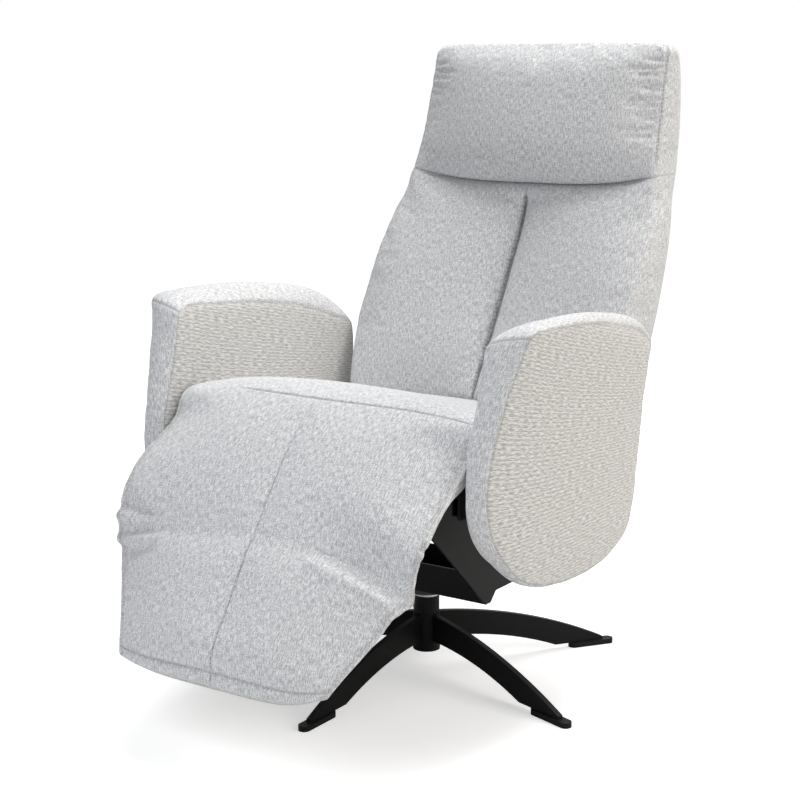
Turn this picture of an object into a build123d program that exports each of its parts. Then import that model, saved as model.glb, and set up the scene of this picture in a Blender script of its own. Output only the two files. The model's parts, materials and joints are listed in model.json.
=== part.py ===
from build123d import *
import os
from math import cos, radians, sin, tan

# Swivel recliner: five-legged steel base, turning seat frame, reclining back
# with a tilting head section, and a two-part footrest. Millimetres, +Z up.
# The sitter faces -Y. The origin is where the swivel axis meets the floor.

# Clearances
RUN_GAP = 0.05  # radial play of a turning pin or shaft
FIT_GAP = 0.1  # play of a pushed-in piece
SOFT_GAP = 0.5  # air between a cushion and what it rests on
SIDE_GAP = 1.0  # room beside a moving piece
SWING_SPARE = 1.0  # spare angle, in degrees, left at the end of a swing

# Star base
BASE_RADIUS = 367.0
LEG_COUNT = 5
LEG_THICKNESS = 10.0
LEG_ROOT_TOP = 101.0
LEG_ROOT_BOTTOM = 52.0
LEG_TOP_ARCH = 17.0
LEG_BOTTOM_ARCH = 12.0
LEG_HEEL_SETBACK = 117.0
LEG_TIP_SETBACK = 22.0
LEG_TIP_HEIGHT = 5.0
GLIDE_LENGTH = 88.0
GLIDE_WIDTH = 20.0
GLIDE_HEIGHT = 9.0

# Hub, column and swivel bearing
HUB_RADIUS = 24.0
HUB_BOTTOM = 36.0
HUB_TOP = 102.0
CAP_THICKNESS = 3.0
CAP_PLUG = 4.0
COLUMN_RADIUS = 22.5
COLUMN_HEIGHT = 31.0
SPIGOT_WALL = 2.5
SPIGOT_LENGTH = 48.0
BUSH_WALL = 3.0
BUSH_LENGTH = 20.0
WASHER_THICKNESS = 4.0
SPINDLE_RADIUS = 13.0
COLLAR_RADIUS = 20.0
COLLAR_HEIGHT = 4.0
FLANGE_RADIUS = 37.0
FLANGE_THICKNESS = 8.0
SCREW_HEAD_RADIUS = 17.0
SCREW_HEAD_HEIGHT = 4.0
SCREW_SHANK_RADIUS = 5.0
SCREW_SHANK_LENGTH = 25.0
FLANGE_BOLT_COUNT = 4
BOLT_RADIUS = 4.0
BOLT_HEAD_RADIUS = 6.5
BOLT_HEAD_HEIGHT = 5.0
FLANGE_BOLT_CIRCLE = 30.0

# Cradle and side plates under the seat
CRADLE_HALF_WIDTH = 139.5
CRADLE_THICKNESS = 4.0
CRADLE_FRONT = -38.0
CRADLE_TOE = 16.0
CRADLE_REAR = 75.0
CRADLE_REAR_HALF_WIDTH = 75.0
CRADLE_HEIGHT = 51.0
SIDE_PLATE_THICKNESS = 5.0
SIDE_PLATE_LIFT = 17.0
SIDE_PLATE_REAR = 140.0

# Seat frame
RAIL_BOTTOM = 378.0
RAIL_HEIGHT = 30.0
RAIL_WIDTH = 20.0
RAIL_WALL = 2.5
RAIL_SETBACK = 36.0  # rail's middle inside the seat's side
RAIL_FRONT = -300.0
RAIL_REAR = 185.0
TUBE_RADIUS = 11.0
TUBE_WALL = 2.0
FRONT_TUBE_Y = -255.0
REAR_TUBE_Y = 95.0
STRAP_COUNT = 3
STRAP_WIDTH = 80.0
STRAP_THICKNESS = 2.0
STRAP_FRONT = -225.0
STRAP_REAR = 75.0

# Seat cushion
SEAT_HALF_WIDTH = 286.0
SEAT_SIDE_BULGE = 6.0
SEAT_REAR = 128.0
SEAT_FRONT_HEIGHT = 546.0
SEAT_LIP_FALL = 15.0
SEAT_MIDDLE_HEIGHT = 523.0
SEAT_REAR_HEIGHT = 470.0
SEAT_FRONT_CROWN = 41.0
SEAT_REAR_CROWN = 22.0

# Arms
ARM_SEAT_GAP = 5.5
ARM_WAIST = 41.5
ARM_LEAN = 9.5
ARM_TOP_WIDTH = 69.0
ARM_FLARE_SAG = 6.0
ARM_REAR = 180.0
ARM_FRONT = -355.0
ARM_BOTTOM = 237.0
ARM_TOP = 680.0
ARM_REAR_TOP = 590.0
ARM_BOARD_THICKNESS = 15.0
ARM_BOARD_SINK = 4.0
ARM_BOARD_FRONT = -285.0
ARM_BOARD_REAR = 120.0
ARM_BOARD_BOTTOM = 315.0
ARM_BOARD_TOP = 520.0
ARM_POCKET_TOP = 450.0
ARM_MOUNT_FRONT = -200.0
ARM_MOUNT_REAR = 80.0
ARM_MOUNT_HEIGHT = 60.0
ARM_MOUNT_DROP = 3.0
ARM_MOUNT_WALL = 4.0
ARM_BOLT_COUNT = 2
ARM_BOLT_PITCH = 160.0
ARM_BOLT_SHANK = 16.0

# Side view of the arm: how far behind its front edge, and how high
ARM_BROW_SETBACK = 72.0
ARM_FACE = (30.0, 555.0)
ARM_NOSE_HEIGHT = 430.0
ARM_JAW = (32.0, 348.0)
ARM_CHIN = (110.0, 276.0)
ARM_THROAT = (210.0, 244.0)
ARM_KEEL_SETBACK = 324.0
ARM_BELLY = (423.0, 251.0)
ARM_HEEL = (481.0, 285.0)
ARM_ANKLE = (511.0, 335.0)
ARM_TAIL = (531.0, 445.0)
# Fall of the arm's crown: how far behind the front edge, and share of the fall to the rear
ARM_CROWN_FALL = ((-15.0, 1 / 6), (155.0, 0.0), (345.0, 0.2), (475.0, 0.6), (550.0, 1.25))

# Back
HINGE_Y = 170.0
HINGE_Z = 435.0
HINGE_PIN_RADIUS = 8.0
HINGE_EYE_RADIUS = 16.0
HINGE_PLATE = 6.0
BACK_RAKE = 21.0
BACK_BOARD_Y = 238.0
BACK_BOARD_THICKNESS = 12.0
BACK_BOARD_SETBACK = 12.0
BACK_BOARD_LOW = -30.0
BACK_BOARD_HIGH = 420.0
BACK_SEAM_DEPTH = 9.0
BACK_EDGE_ROUND = 16.0
HINGE_ARM_REACH = 170.0
# Level slices of the cushion: height, inset from the seat's side, front at the edges and at the seam, rear
BACK_SLICES = (
    (472.0, 24.0, 136.0, 150.0, 300.0),
    (570.0, 18.0, 174.0, 206.0, 340.0),
    (670.0, 16.0, 222.0, 262.0, 380.0),
    (770.0, 22.0, 287.0, 318.0, 420.0),
    (858.0, 39.0, 337.0, 354.0, 450.0),
)
# Slices of the rear pad: place up the board, inset from the seat's side, depth
REAR_PAD_SLICES = ((30.0, 30.0, 30.0), (230.0, 24.0, 30.0), (390.0, 34.0, 32.0), (470.0, 42.0, 38.0))

# Head section
HEAD_PIVOT_Y = 364.0
HEAD_PIVOT_Z = 842.0
HEAD_TILT = 25.0
HEAD_PIN_RADIUS = 5.0
HEAD_EYE_RADIUS = 10.0
HEAD_EAR_X = 147.0
HEAD_EAR = 5.0
HEAD_EAR_FOOT = 30.0
HEAD_HINGE_FOOT = 45.0
HEAD_SHEET = 3.0
HEAD_SHEET_Y = 408.0
HEAD_SHEET_RAKE = 5.0
HEAD_SHEET_BOTTOM = 862.0
HEAD_SHEET_TOP = 1035.0
HEAD_SHEET_HALF_WIDTH = 165.0
HEAD_CROWN = 4.0
# Level slices of the head cushion: height, inset from the seat's side, front and rear at the edges
HEAD_SLICES = (
    (826.0, 36.0, 333.0, 444.0),
    (905.0, 43.0, 360.0, 459.0),
    (985.0, 46.0, 380.0, 468.0),
    (1045.0, 49.0, 396.0, 462.0),
    (1080.0, 64.0, 416.0, 446.0),
)
CREASE_DROP = 5.0  # degrees below level of the crease's lower face

# Footrest
KNEE_Y = -303.0
KNEE_DEPTH = 46.0  # knee pin below the seat's highest line
FOOT_PITCH = 53.1  # degrees below level of the raised panel's face
FOOT_RAISE = 36.0
FOOT_FOLD_SHARE = 0.4  # turn of the flap for each degree of the footrest
KNEE_PIN_RADIUS = 6.0
KNEE_EYE_RADIUS = 12.0
KNEE_EAR = 6.0
KNEE_EAR_REACH = 80.0
KNEE_EAR_ROOM = 20.0
KNEE_BRACKET = 5.0
KNEE_BRACKET_FOOT = 50.0
SEAT_LIP_LEAN = 30.5  # degrees from upright of the seat's front face above the knee
FOOT_SHEET = 3.0
CALF_SIDE_GAP = 2.5
FLAP_AT = 242.0
FLAP_PIVOT_HEIGHT = 20.0
FLAP_PIN_RADIUS = 4.0
FLAP_EYE_RADIUS = 9.0
FLAP_EAR_X = 150.0
FLAP_EAR = 5.0
FLAP_EAR_FOOT = 30.0
FLAP_ROOM = 14.0
FOOT_LENGTH = 447.0
FLAP_ROOT_INSET = 10.0
FLAP_END_HALF_WIDTH = 190.0
FLAP_SHEET_INSET = 54.0
FLAP_SHEET_END = 165.0
FLAP_SHEET_SETBACK = 22.0
FOOT_CROWN = 61.0
FOOT_SEAM_DEPTH = 8.0
# Slices of the calf cushion: distance from the knee, inset of the side, height of the crown and of the rim
CALF_SLICES = (
    (-10.0, 5.0, FOOT_CROWN - 10, 14.0),
    (60.0, 0.0, FOOT_CROWN, 20.0),
    (150.0, 0.0, FOOT_CROWN, 30.0),
    (FLAP_AT, 5.0, FOOT_CROWN, 30.0),
)
# Slices of the flap cushion: distance from the knee, height of the crown and of the rim
FLAP_SLICES = ((FLAP_AT, 60.0, 26.0), (330.0, 56.0, 20.0), (405.0, 50.0, 17.0), (FOOT_LENGTH, 30.0, 10.0))

# Places worked out from the sizes above
LEG_TIP_RADIUS = BASE_RADIUS - LEG_TIP_SETBACK
BUSH_RADIUS = SPINDLE_RADIUS + BUSH_WALL
SPIGOT_RADIUS = BUSH_RADIUS + SPIGOT_WALL
COLUMN_TOP = HUB_TOP + COLUMN_HEIGHT
SPIGOT_BOTTOM = HUB_TOP - SPIGOT_LENGTH
SPINDLE_BOTTOM = SPIGOT_BOTTOM - SIDE_GAP
COLLAR_BOTTOM = COLUMN_TOP + WASHER_THICKNESS
FLANGE_BOTTOM = COLLAR_BOTTOM + COLLAR_HEIGHT
CRADLE_BOTTOM = FLANGE_BOTTOM + FLANGE_THICKNESS
CRADLE_DECK = CRADLE_BOTTOM + CRADLE_THICKNESS
RAIL_TOP = RAIL_BOTTOM + RAIL_HEIGHT
RAIL_X = SEAT_HALF_WIDTH - RAIL_SETBACK
RAIL_INNER = RAIL_X - RAIL_WIDTH / 2
RAIL_OUTER = RAIL_X + RAIL_WIDTH / 2
TUBE_Z = RAIL_BOTTOM + RAIL_HEIGHT / 2
SEAT_BOTTOM = RAIL_TOP + STRAP_THICKNESS + SOFT_GAP
ARM_INNER = SEAT_HALF_WIDTH + ARM_SEAT_GAP
ARM_OUTER = ARM_INNER + ARM_WAIST
ARM_TOP_INNER = ARM_INNER + ARM_LEAN
ARM_TOP_OUTER = ARM_TOP_INNER + ARM_TOP_WIDTH
ARM_BOARD_INNER = ARM_INNER + ARM_BOARD_SINK
BACK_BOARD_HALF_WIDTH = RAIL_INNER - BACK_BOARD_SETBACK
CALF_HALF_WIDTH = ARM_INNER - CALF_SIDE_GAP
FLAP_ROOT_HALF_WIDTH = CALF_HALF_WIDTH - FLAP_ROOT_INSET
FLAP_SHEET_ROOT = CALF_HALF_WIDTH - FLAP_SHEET_INSET
ARM_MOUNT_TOP = RAIL_TOP - ARM_MOUNT_DROP
KNEE_Z = SEAT_FRONT_HEIGHT - KNEE_DEPTH
FLAP_FOLD = FOOT_RAISE * FOOT_FOLD_SHARE

shapes = {}


def in_yz(outline, x0, x1):
    """A side-on face, given in (y, z), thickened from x0 to x1."""
    return extrude(Plane.YZ.offset(x0) * outline, amount=x1 - x0)


def polygon(*points):
    return make_face(Polyline(*points, close=True))


def rod_x(radius, x0, x1, y, z):
    return Pos((x0 + x1) / 2, y, z) * Rot(0, 90, 0) * Cylinder(radius, x1 - x0)


def rod_z(radius, z0, z1, x=0.0, y=0.0):
    return Pos(x, y, (z0 + z1) / 2) * Cylinder(radius, z1 - z0)


def block(x0, x1, y0, y1, z0, z1):
    return Pos((x0 + x1) / 2, (y0 + y1) / 2, (z0 + z1) / 2) * Box(x1 - x0, y1 - y0, z1 - z0)


def both_sides(name, right):
    """Keep a right-hand piece and its mirror image on the left."""
    shapes[f"{name}_right"] = right
    shapes[f"{name}_left"] = mirror(right, about=Plane.YZ)


def with_mirror(right):
    return right + mirror(right, about=Plane.YZ)


def arched(start, end, arch):
    """An arc from start to end that stands arch above the middle of its chord."""
    run = Vector(*end) - Vector(*start)
    middle = (Vector(*start) + Vector(*end)) / 2 + Vector(-run.Y, run.X).normalized() * arch
    return ThreePointArc(start, middle, end)


# Star base: one blade and one glide, turned into each place about the column

def leg_blade():
    root = HUB_RADIUS / 2
    heel = (BASE_RADIUS - LEG_HEEL_SETBACK, GLIDE_HEIGHT)
    tip = (LEG_TIP_RADIUS, GLIDE_HEIGHT)
    tip_top = (LEG_TIP_RADIUS, GLIDE_HEIGHT + LEG_TIP_HEIGHT)
    outline = make_face([
        arched((root, LEG_ROOT_TOP), tip_top, LEG_TOP_ARCH),
        Line(tip_top, tip),
        Line(tip, heel),
        arched((root, LEG_ROOT_BOTTOM), heel, LEG_BOTTOM_ARCH),
        Line((root, LEG_ROOT_BOTTOM), (root, LEG_ROOT_TOP)),
    ])
    blade = extrude(Plane.XZ * outline, amount=LEG_THICKNESS / 2, both=True)
    return blade - rod_z(HUB_RADIUS, 0, HUB_TOP + LEG_ROOT_TOP)


def glide():
    pad = extrude(SlotOverall(GLIDE_LENGTH, GLIDE_WIDTH), amount=GLIDE_HEIGHT)
    return Pos(BASE_RADIUS - GLIDE_LENGTH / 2, 0, 0) * pad


def make_base():
    for number in range(LEG_COUNT):
        turn = Rot(0, 0, -90 + 360 / LEG_COUNT * number)
        shapes[f"base_leg_{number + 1}"] = turn * leg_blade()
        shapes[f"glide_{number + 1}"] = turn * glide()
    hub_bore = SPIGOT_RADIUS + FIT_GAP
    shapes["base_hub"] = rod_z(HUB_RADIUS, HUB_BOTTOM, HUB_TOP) - rod_z(hub_bore, 0, 2 * HUB_TOP)
    shapes["hub_cap"] = (
        rod_z(HUB_RADIUS, HUB_BOTTOM - CAP_THICKNESS, HUB_BOTTOM)
        + rod_z(SPIGOT_RADIUS, HUB_BOTTOM, HUB_BOTTOM + CAP_PLUG)
    )
    sleeve = rod_z(COLUMN_RADIUS, HUB_TOP, COLUMN_TOP) + rod_z(SPIGOT_RADIUS, SPIGOT_BOTTOM, HUB_TOP)
    shapes["column_sleeve"] = sleeve - rod_z(BUSH_RADIUS, 0, 2 * COLUMN_TOP)
    journal = SPINDLE_RADIUS + RUN_GAP
    for name, low in (("lower_bush", SPIGOT_BOTTOM), ("upper_bush", COLUMN_TOP - BUSH_LENGTH)):
        ring = rod_z(BUSH_RADIUS, low, low + BUSH_LENGTH)
        shapes[name] = ring - rod_z(journal, low, low + BUSH_LENGTH)
    washer = rod_z(COLUMN_RADIUS, COLUMN_TOP, COLLAR_BOTTOM)
    shapes["thrust_washer"] = washer - rod_z(journal, COLUMN_TOP, COLLAR_BOTTOM)


# Swivel spindle, cradle and side plates

def flange_bolt_places():
    return [
        (FLANGE_BOLT_CIRCLE * cos(angle), FLANGE_BOLT_CIRCLE * sin(angle))
        for angle in (radians(360 / FLANGE_BOLT_COUNT * (n + 0.5)) for n in range(FLANGE_BOLT_COUNT))
    ]


def make_spindle():
    spindle = (
        rod_z(SPINDLE_RADIUS, SPINDLE_BOTTOM, COLLAR_BOTTOM)
        + rod_z(COLLAR_RADIUS, COLLAR_BOTTOM, FLANGE_BOTTOM)
        + rod_z(FLANGE_RADIUS, FLANGE_BOTTOM, CRADLE_BOTTOM)
    )
    shank_top = SPINDLE_BOTTOM + SCREW_SHANK_LENGTH
    spindle -= rod_z(SCREW_SHANK_RADIUS + FIT_GAP, SPINDLE_BOTTOM, shank_top)
    for x, y in flange_bolt_places():
        spindle -= rod_z(BOLT_RADIUS + FIT_GAP, FLANGE_BOTTOM, CRADLE_BOTTOM, x, y)
    shapes["spindle"] = spindle
    shapes["spindle_screw"] = (
        rod_z(SCREW_HEAD_RADIUS, SPINDLE_BOTTOM - SCREW_HEAD_HEIGHT, SPINDLE_BOTTOM)
        + rod_z(SCREW_SHANK_RADIUS, SPINDLE_BOTTOM, shank_top - FIT_GAP)
    )
    for number, (x, y) in enumerate(flange_bolt_places(), 1):
        shapes[f"flange_bolt_{number}"] = (
            rod_z(BOLT_RADIUS, FLANGE_BOTTOM, CRADLE_DECK, x, y)
            + rod_z(BOLT_HEAD_RADIUS, CRADLE_DECK, CRADLE_DECK + BOLT_HEAD_HEIGHT, x, y)
        )


def make_cradle():
    toe = CRADLE_FRONT + CRADLE_TOE
    deck = polygon(
        (-CRADLE_HALF_WIDTH, CRADLE_FRONT), (CRADLE_HALF_WIDTH, CRADLE_FRONT),
        (CRADLE_HALF_WIDTH, toe), (CRADLE_REAR_HALF_WIDTH, CRADLE_REAR),
        (-CRADLE_REAR_HALF_WIDTH, CRADLE_REAR), (-CRADLE_HALF_WIDTH, toe),
    )
    cradle = extrude(Plane.XY.offset(CRADLE_BOTTOM) * deck, amount=CRADLE_THICKNESS)
    top = CRADLE_BOTTOM + CRADLE_HEIGHT
    cradle += block(
        -CRADLE_HALF_WIDTH, CRADLE_HALF_WIDTH,
        CRADLE_FRONT, CRADLE_FRONT + CRADLE_THICKNESS, CRADLE_BOTTOM, top,
    )
    cradle += block(
        -CRADLE_REAR_HALF_WIDTH, CRADLE_REAR_HALF_WIDTH,
        CRADLE_REAR - CRADLE_THICKNESS, CRADLE_REAR, CRADLE_BOTTOM, top,
    )
    for x, y in flange_bolt_places():
        cradle -= rod_z(BOLT_RADIUS + FIT_GAP, CRADLE_BOTTOM, CRADLE_DECK, x, y)
    shapes["cradle"] = cradle


def make_side_plates():
    toe = CRADLE_FRONT + CRADLE_TOE
    heel = CRADLE_BOTTOM + SIDE_PLATE_LIFT
    top = RAIL_TOP - STRAP_THICKNESS
    front_low = TUBE_Z - 2 * TUBE_RADIUS
    front = FRONT_TUBE_Y - 2 * TUBE_RADIUS
    outline = polygon(
        (CRADLE_FRONT, CRADLE_BOTTOM), (toe, CRADLE_BOTTOM), (toe + SIDE_PLATE_LIFT, heel),
        (SIDE_PLATE_REAR - SIDE_PLATE_LIFT, heel), (SIDE_PLATE_REAR, heel + 4 * SIDE_PLATE_LIFT),
        (REAR_TUBE_Y + 2 * TUBE_RADIUS, top), (front, top), (front, front_low),
    )
    x1 = CRADLE_HALF_WIDTH + SIDE_PLATE_THICKNESS
    plate = in_yz(outline, CRADLE_HALF_WIDTH, x1)
    for y in (FRONT_TUBE_Y, REAR_TUBE_Y):
        plate -= rod_x(TUBE_RADIUS + FIT_GAP, CRADLE_HALF_WIDTH, x1, y, TUBE_Z)
    both_sides("side_plate", plate)


# Seat frame: rails, cross tubes and webbing straps

def make_seat_frame():
    rail = block(RAIL_INNER, RAIL_OUTER, RAIL_FRONT, RAIL_REAR, RAIL_BOTTOM, RAIL_TOP)
    rail -= block(
        RAIL_INNER + RAIL_WALL, RAIL_OUTER - RAIL_WALL, RAIL_FRONT, RAIL_REAR,
        RAIL_BOTTOM + RAIL_WALL, RAIL_TOP - RAIL_WALL,
    )
    both_sides("seat_rail", rail)
    for name, y in (("front_cross_tube", FRONT_TUBE_Y), ("rear_cross_tube", REAR_TUBE_Y)):
        tube = rod_x(TUBE_RADIUS, -RAIL_INNER, RAIL_INNER, y, TUBE_Z)
        shapes[name] = tube - rod_x(TUBE_RADIUS - TUBE_WALL, -RAIL_INNER, RAIL_INNER, y, TUBE_Z)
    pitch = (STRAP_REAR - STRAP_FRONT) / (STRAP_COUNT - 1)
    for number in range(STRAP_COUNT):
        y = STRAP_FRONT + pitch * number
        shapes[f"seat_strap_{number + 1}"] = block(
            -RAIL_OUTER, RAIL_OUTER, y - STRAP_WIDTH / 2, y + STRAP_WIDTH / 2,
            RAIL_TOP, RAIL_TOP + STRAP_THICKNESS,
        )


def seat_section(y, height, crown):
    """A crowned slice of the seat cushion, with drawn-in sides."""
    half = SEAT_HALF_WIDTH - SEAT_SIDE_BULGE
    edge = height - crown
    middle = (SEAT_BOTTOM + edge) / 2
    face = make_face([
        Line((-half, SEAT_BOTTOM), (half, SEAT_BOTTOM)),
        ThreePointArc((half, SEAT_BOTTOM), (SEAT_HALF_WIDTH, middle), (half, edge)),
        ThreePointArc((half, edge), (0, height), (-half, edge)),
        ThreePointArc((-half, edge), (-SEAT_HALF_WIDTH, middle), (-half, SEAT_BOTTOM)),
    ])
    return Plane((0, y, 0), x_dir=(1, 0, 0), z_dir=(0, -1, 0)) * face


def make_seat_cushion():
    reach = KNEE_EYE_RADIUS * 3
    cushion = loft([
        seat_section(KNEE_Y - reach, SEAT_FRONT_HEIGHT - SEAT_LIP_FALL, SEAT_FRONT_CROWN),
        seat_section(KNEE_Y + 2 * reach, SEAT_FRONT_HEIGHT, SEAT_FRONT_CROWN),
        seat_section((KNEE_Y + SEAT_REAR) / 2, SEAT_MIDDLE_HEIGHT, (SEAT_FRONT_CROWN + SEAT_REAR_CROWN) / 2),
        seat_section(SEAT_REAR, SEAT_REAR_HEIGHT, SEAT_REAR_CROWN),
    ])
    rise = SEAT_FRONT_HEIGHT - KNEE_Z + reach
    lip = (KNEE_Y - rise * tan(radians(SEAT_LIP_LEAN)), KNEE_Z + rise)
    back_of_knee = KNEE_Y + KNEE_EYE_RADIUS + 2 * SIDE_GAP
    front = polygon(
        (back_of_knee, 0), (back_of_knee, KNEE_Z - KNEE_EYE_RADIUS), (KNEE_Y, KNEE_Z), lip,
        (KNEE_Y - 6 * reach, lip[1]), (KNEE_Y - 6 * reach, 0),
    )
    cushion -= in_yz(front, -SEAT_HALF_WIDTH, SEAT_HALF_WIDTH)
    ear_room = RAIL_INNER - SIDE_GAP
    notch = block(
        ear_room, SEAT_HALF_WIDTH + SEAT_SIDE_BULGE, KNEE_Y - reach,
        back_of_knee + SIDE_GAP, 0, KNEE_Z + 3 * reach,
    )
    shapes["seat_cushion"] = cushion - with_mirror(notch)


# Arms: a bolted channel, a plywood board and the padded arm round it

def arm_section(y, top):
    """A slice of the right arm: thin below, leaning out to a broad crowned top."""
    low = ARM_BOTTOM - ARM_BOARD_SINK * 2
    shoulder = top - (ARM_TOP - ARM_POCKET_TOP) / 2
    inner_top = (ARM_TOP_INNER, top - (ARM_TOP_OUTER - ARM_TOP_INNER) / 2)
    outer_top = (ARM_TOP_OUTER, top - (ARM_TOP_OUTER - ARM_TOP_INNER) / 5)
    waist = (ARM_OUTER, top - (ARM_TOP - ARM_POCKET_TOP))
    crown = ((ARM_TOP_INNER + ARM_TOP_OUTER) / 2, top)
    face = make_face([
        Line((ARM_INNER, low), (ARM_INNER, shoulder)),
        Line((ARM_INNER, shoulder), inner_top),
        ThreePointArc(inner_top, crown, outer_top),
        arched(outer_top, waist, -ARM_FLARE_SAG),
        Line(waist, (ARM_OUTER, low)),
        Line((ARM_OUTER, low), (ARM_INNER, low)),
    ])
    return Plane((0, y, 0), x_dir=(1, 0, 0), z_dir=(0, -1, 0)) * face


def arm_outline():
    """The arm's side view up to above its crown."""
    def place(setback, height):
        return (ARM_FRONT + setback, height)

    above = ARM_TOP + ARM_BOARD_THICKNESS
    brow = place(ARM_BROW_SETBACK, above)
    nose = place(0, ARM_NOSE_HEIGHT)
    keel = place(ARM_KEEL_SETBACK, ARM_BOTTOM)
    chin, heel, tail = place(*ARM_CHIN), place(*ARM_HEEL), place(*ARM_TAIL)
    return make_face([
        ThreePointArc(brow, place(*ARM_FACE), nose),
        ThreePointArc(nose, place(*ARM_JAW), chin),
        ThreePointArc(chin, place(*ARM_THROAT), keel),
        ThreePointArc(keel, place(*ARM_BELLY), heel),
        ThreePointArc(heel, place(*ARM_ANKLE), tail),
        Line(tail, (ARM_REAR, ARM_REAR_TOP)),
        Line((ARM_REAR, ARM_REAR_TOP), (ARM_REAR, above)),
        Line((ARM_REAR, above), brow),
    ])


def arm_bolt_places():
    middle = (ARM_MOUNT_FRONT + ARM_MOUNT_REAR) / 2
    first = middle - ARM_BOLT_PITCH * (ARM_BOLT_COUNT - 1) / 2
    return [first + ARM_BOLT_PITCH * n for n in range(ARM_BOLT_COUNT)]


def make_arms():
    slope = ARM_TOP - ARM_REAR_TOP
    slices = loft([
        arm_section(ARM_FRONT + setback, ARM_TOP - slope * share) for setback, share in ARM_CROWN_FALL
    ])
    pad = slices & in_yz(arm_outline(), 0, 2 * ARM_TOP_OUTER)
    x0, x1 = ARM_BOARD_INNER, ARM_BOARD_INNER + ARM_BOARD_THICKNESS
    pad -= block(
        x0 - FIT_GAP, x1 + FIT_GAP, ARM_BOARD_FRONT - FIT_GAP, ARM_BOARD_REAR + FIT_GAP,
        ARM_BOARD_BOTTOM - FIT_GAP, ARM_BOARD_TOP + FIT_GAP,
    )
    pad -= block(0, x0, ARM_BOARD_FRONT, ARM_BOARD_REAR, ARM_BOARD_BOTTOM, ARM_POCKET_TOP)
    board = block(x0, x1, ARM_BOARD_FRONT, ARM_BOARD_REAR, ARM_BOARD_BOTTOM, ARM_BOARD_TOP)
    low = ARM_MOUNT_TOP - ARM_MOUNT_HEIGHT
    mount = block(RAIL_OUTER, x0, ARM_MOUNT_FRONT, ARM_MOUNT_REAR, low, ARM_MOUNT_TOP)
    mount -= block(
        RAIL_OUTER + ARM_MOUNT_WALL, x0 - ARM_MOUNT_WALL, ARM_MOUNT_FRONT, ARM_MOUNT_REAR,
        low, ARM_MOUNT_TOP - ARM_MOUNT_WALL,
    )
    z = ARM_MOUNT_TOP - ARM_MOUNT_HEIGHT / 2
    seat = x0 - ARM_MOUNT_WALL
    for number, y in enumerate(arm_bolt_places(), 1):
        hole = rod_x(BOLT_RADIUS + FIT_GAP, seat, seat + ARM_BOLT_SHANK + FIT_GAP, y, z)
        board -= hole
        mount -= hole
        bolt = rod_x(BOLT_RADIUS, seat, seat + ARM_BOLT_SHANK, y, z)
        bolt += rod_x(BOLT_HEAD_RADIUS, seat - BOLT_HEAD_HEIGHT, seat, y, z)
        both_sides(f"arm_bolt_{number}", bolt)
    both_sides("arm_pad", pad)
    both_sides("arm_board", board)
    both_sides("arm_mount", mount)


# Back: hinge plates, board, front cushion and rear pad

def back_point(along, forward):
    """A (y, z) point measured up the back board and forward of its front face."""
    lean = radians(BACK_RAKE)
    return (
        BACK_BOARD_Y + along * sin(lean) - forward * cos(lean),
        HINGE_Z + along * cos(lean) + forward * sin(lean),
    )


def back_slab(low, high, rear, front, half_width):
    outline = polygon(
        back_point(low, rear), back_point(high, rear), back_point(high, front), back_point(low, front)
    )
    return in_yz(outline, -half_width, half_width)


def make_back_hinges():
    x0, x1 = BACK_BOARD_HALF_WIDTH, BACK_BOARD_HALF_WIDTH + HINGE_PLATE
    eye = Pos(HINGE_Y, HINGE_Z) * Circle(HINGE_EYE_RADIUS)
    arm = polygon(
        back_point(BACK_BOARD_LOW, -BACK_BOARD_THICKNESS), back_point(HINGE_ARM_REACH, -BACK_BOARD_THICKNESS),
        back_point(HINGE_ARM_REACH, 0), back_point(HINGE_EYE_RADIUS, 0),
        (HINGE_Y, HINGE_Z + HINGE_EYE_RADIUS), (HINGE_Y, HINGE_Z - HINGE_EYE_RADIUS),
    )
    pin_end = RAIL_OUTER + HINGE_PLATE + SIDE_GAP
    arm = in_yz(arm + eye, x0, x1) + rod_x(HINGE_PIN_RADIUS, x1, pin_end, HINGE_Y, HINGE_Z)
    both_sides("back_hinge_arm", arm)
    foot = polygon(
        (HINGE_Y - 2 * HINGE_EYE_RADIUS, RAIL_BOTTOM), (RAIL_REAR, RAIL_BOTTOM),
        (HINGE_Y + HINGE_EYE_RADIUS, HINGE_Z), (HINGE_Y - HINGE_EYE_RADIUS, HINGE_Z),
        (HINGE_Y - 2 * HINGE_EYE_RADIUS, RAIL_TOP),
    )
    bracket = in_yz(foot + eye, RAIL_OUTER, RAIL_OUTER + HINGE_PLATE)
    bracket -= rod_x(HINGE_PIN_RADIUS + RUN_GAP, RAIL_OUTER, RAIL_OUTER + HINGE_PLATE, HINGE_Y, HINGE_Z)
    both_sides("back_hinge_bracket", bracket)


def back_section(z, inset, edge, centre, rear):
    """A level slice: two padded panels either side of the sewn middle seam, sides wrapped forward."""
    half = SEAT_HALF_WIDTH - inset
    r = BACK_EDGE_ROUND
    bulge = (edge + centre) / 2 - BACK_SEAM_DEPTH
    front, side, tail = (half - r, edge), (half, edge + r), (half - r / 2, rear)
    corner = (half - r * 0.3, edge + r * 0.3)
    seam = (0, centre)
    face = make_face([
        ThreePointArc(seam, (half / 2, bulge), front),
        ThreePointArc(front, corner, side),
        Line(side, tail),
        Line(tail, (-tail[0], tail[1])),
        Line((-tail[0], tail[1]), (-side[0], side[1])),
        ThreePointArc((-side[0], side[1]), (-corner[0], corner[1]), (-front[0], front[1])),
        ThreePointArc((-front[0], front[1]), (-half / 2, bulge), seam),
    ])
    return Plane.XY.offset(z) * face


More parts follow.
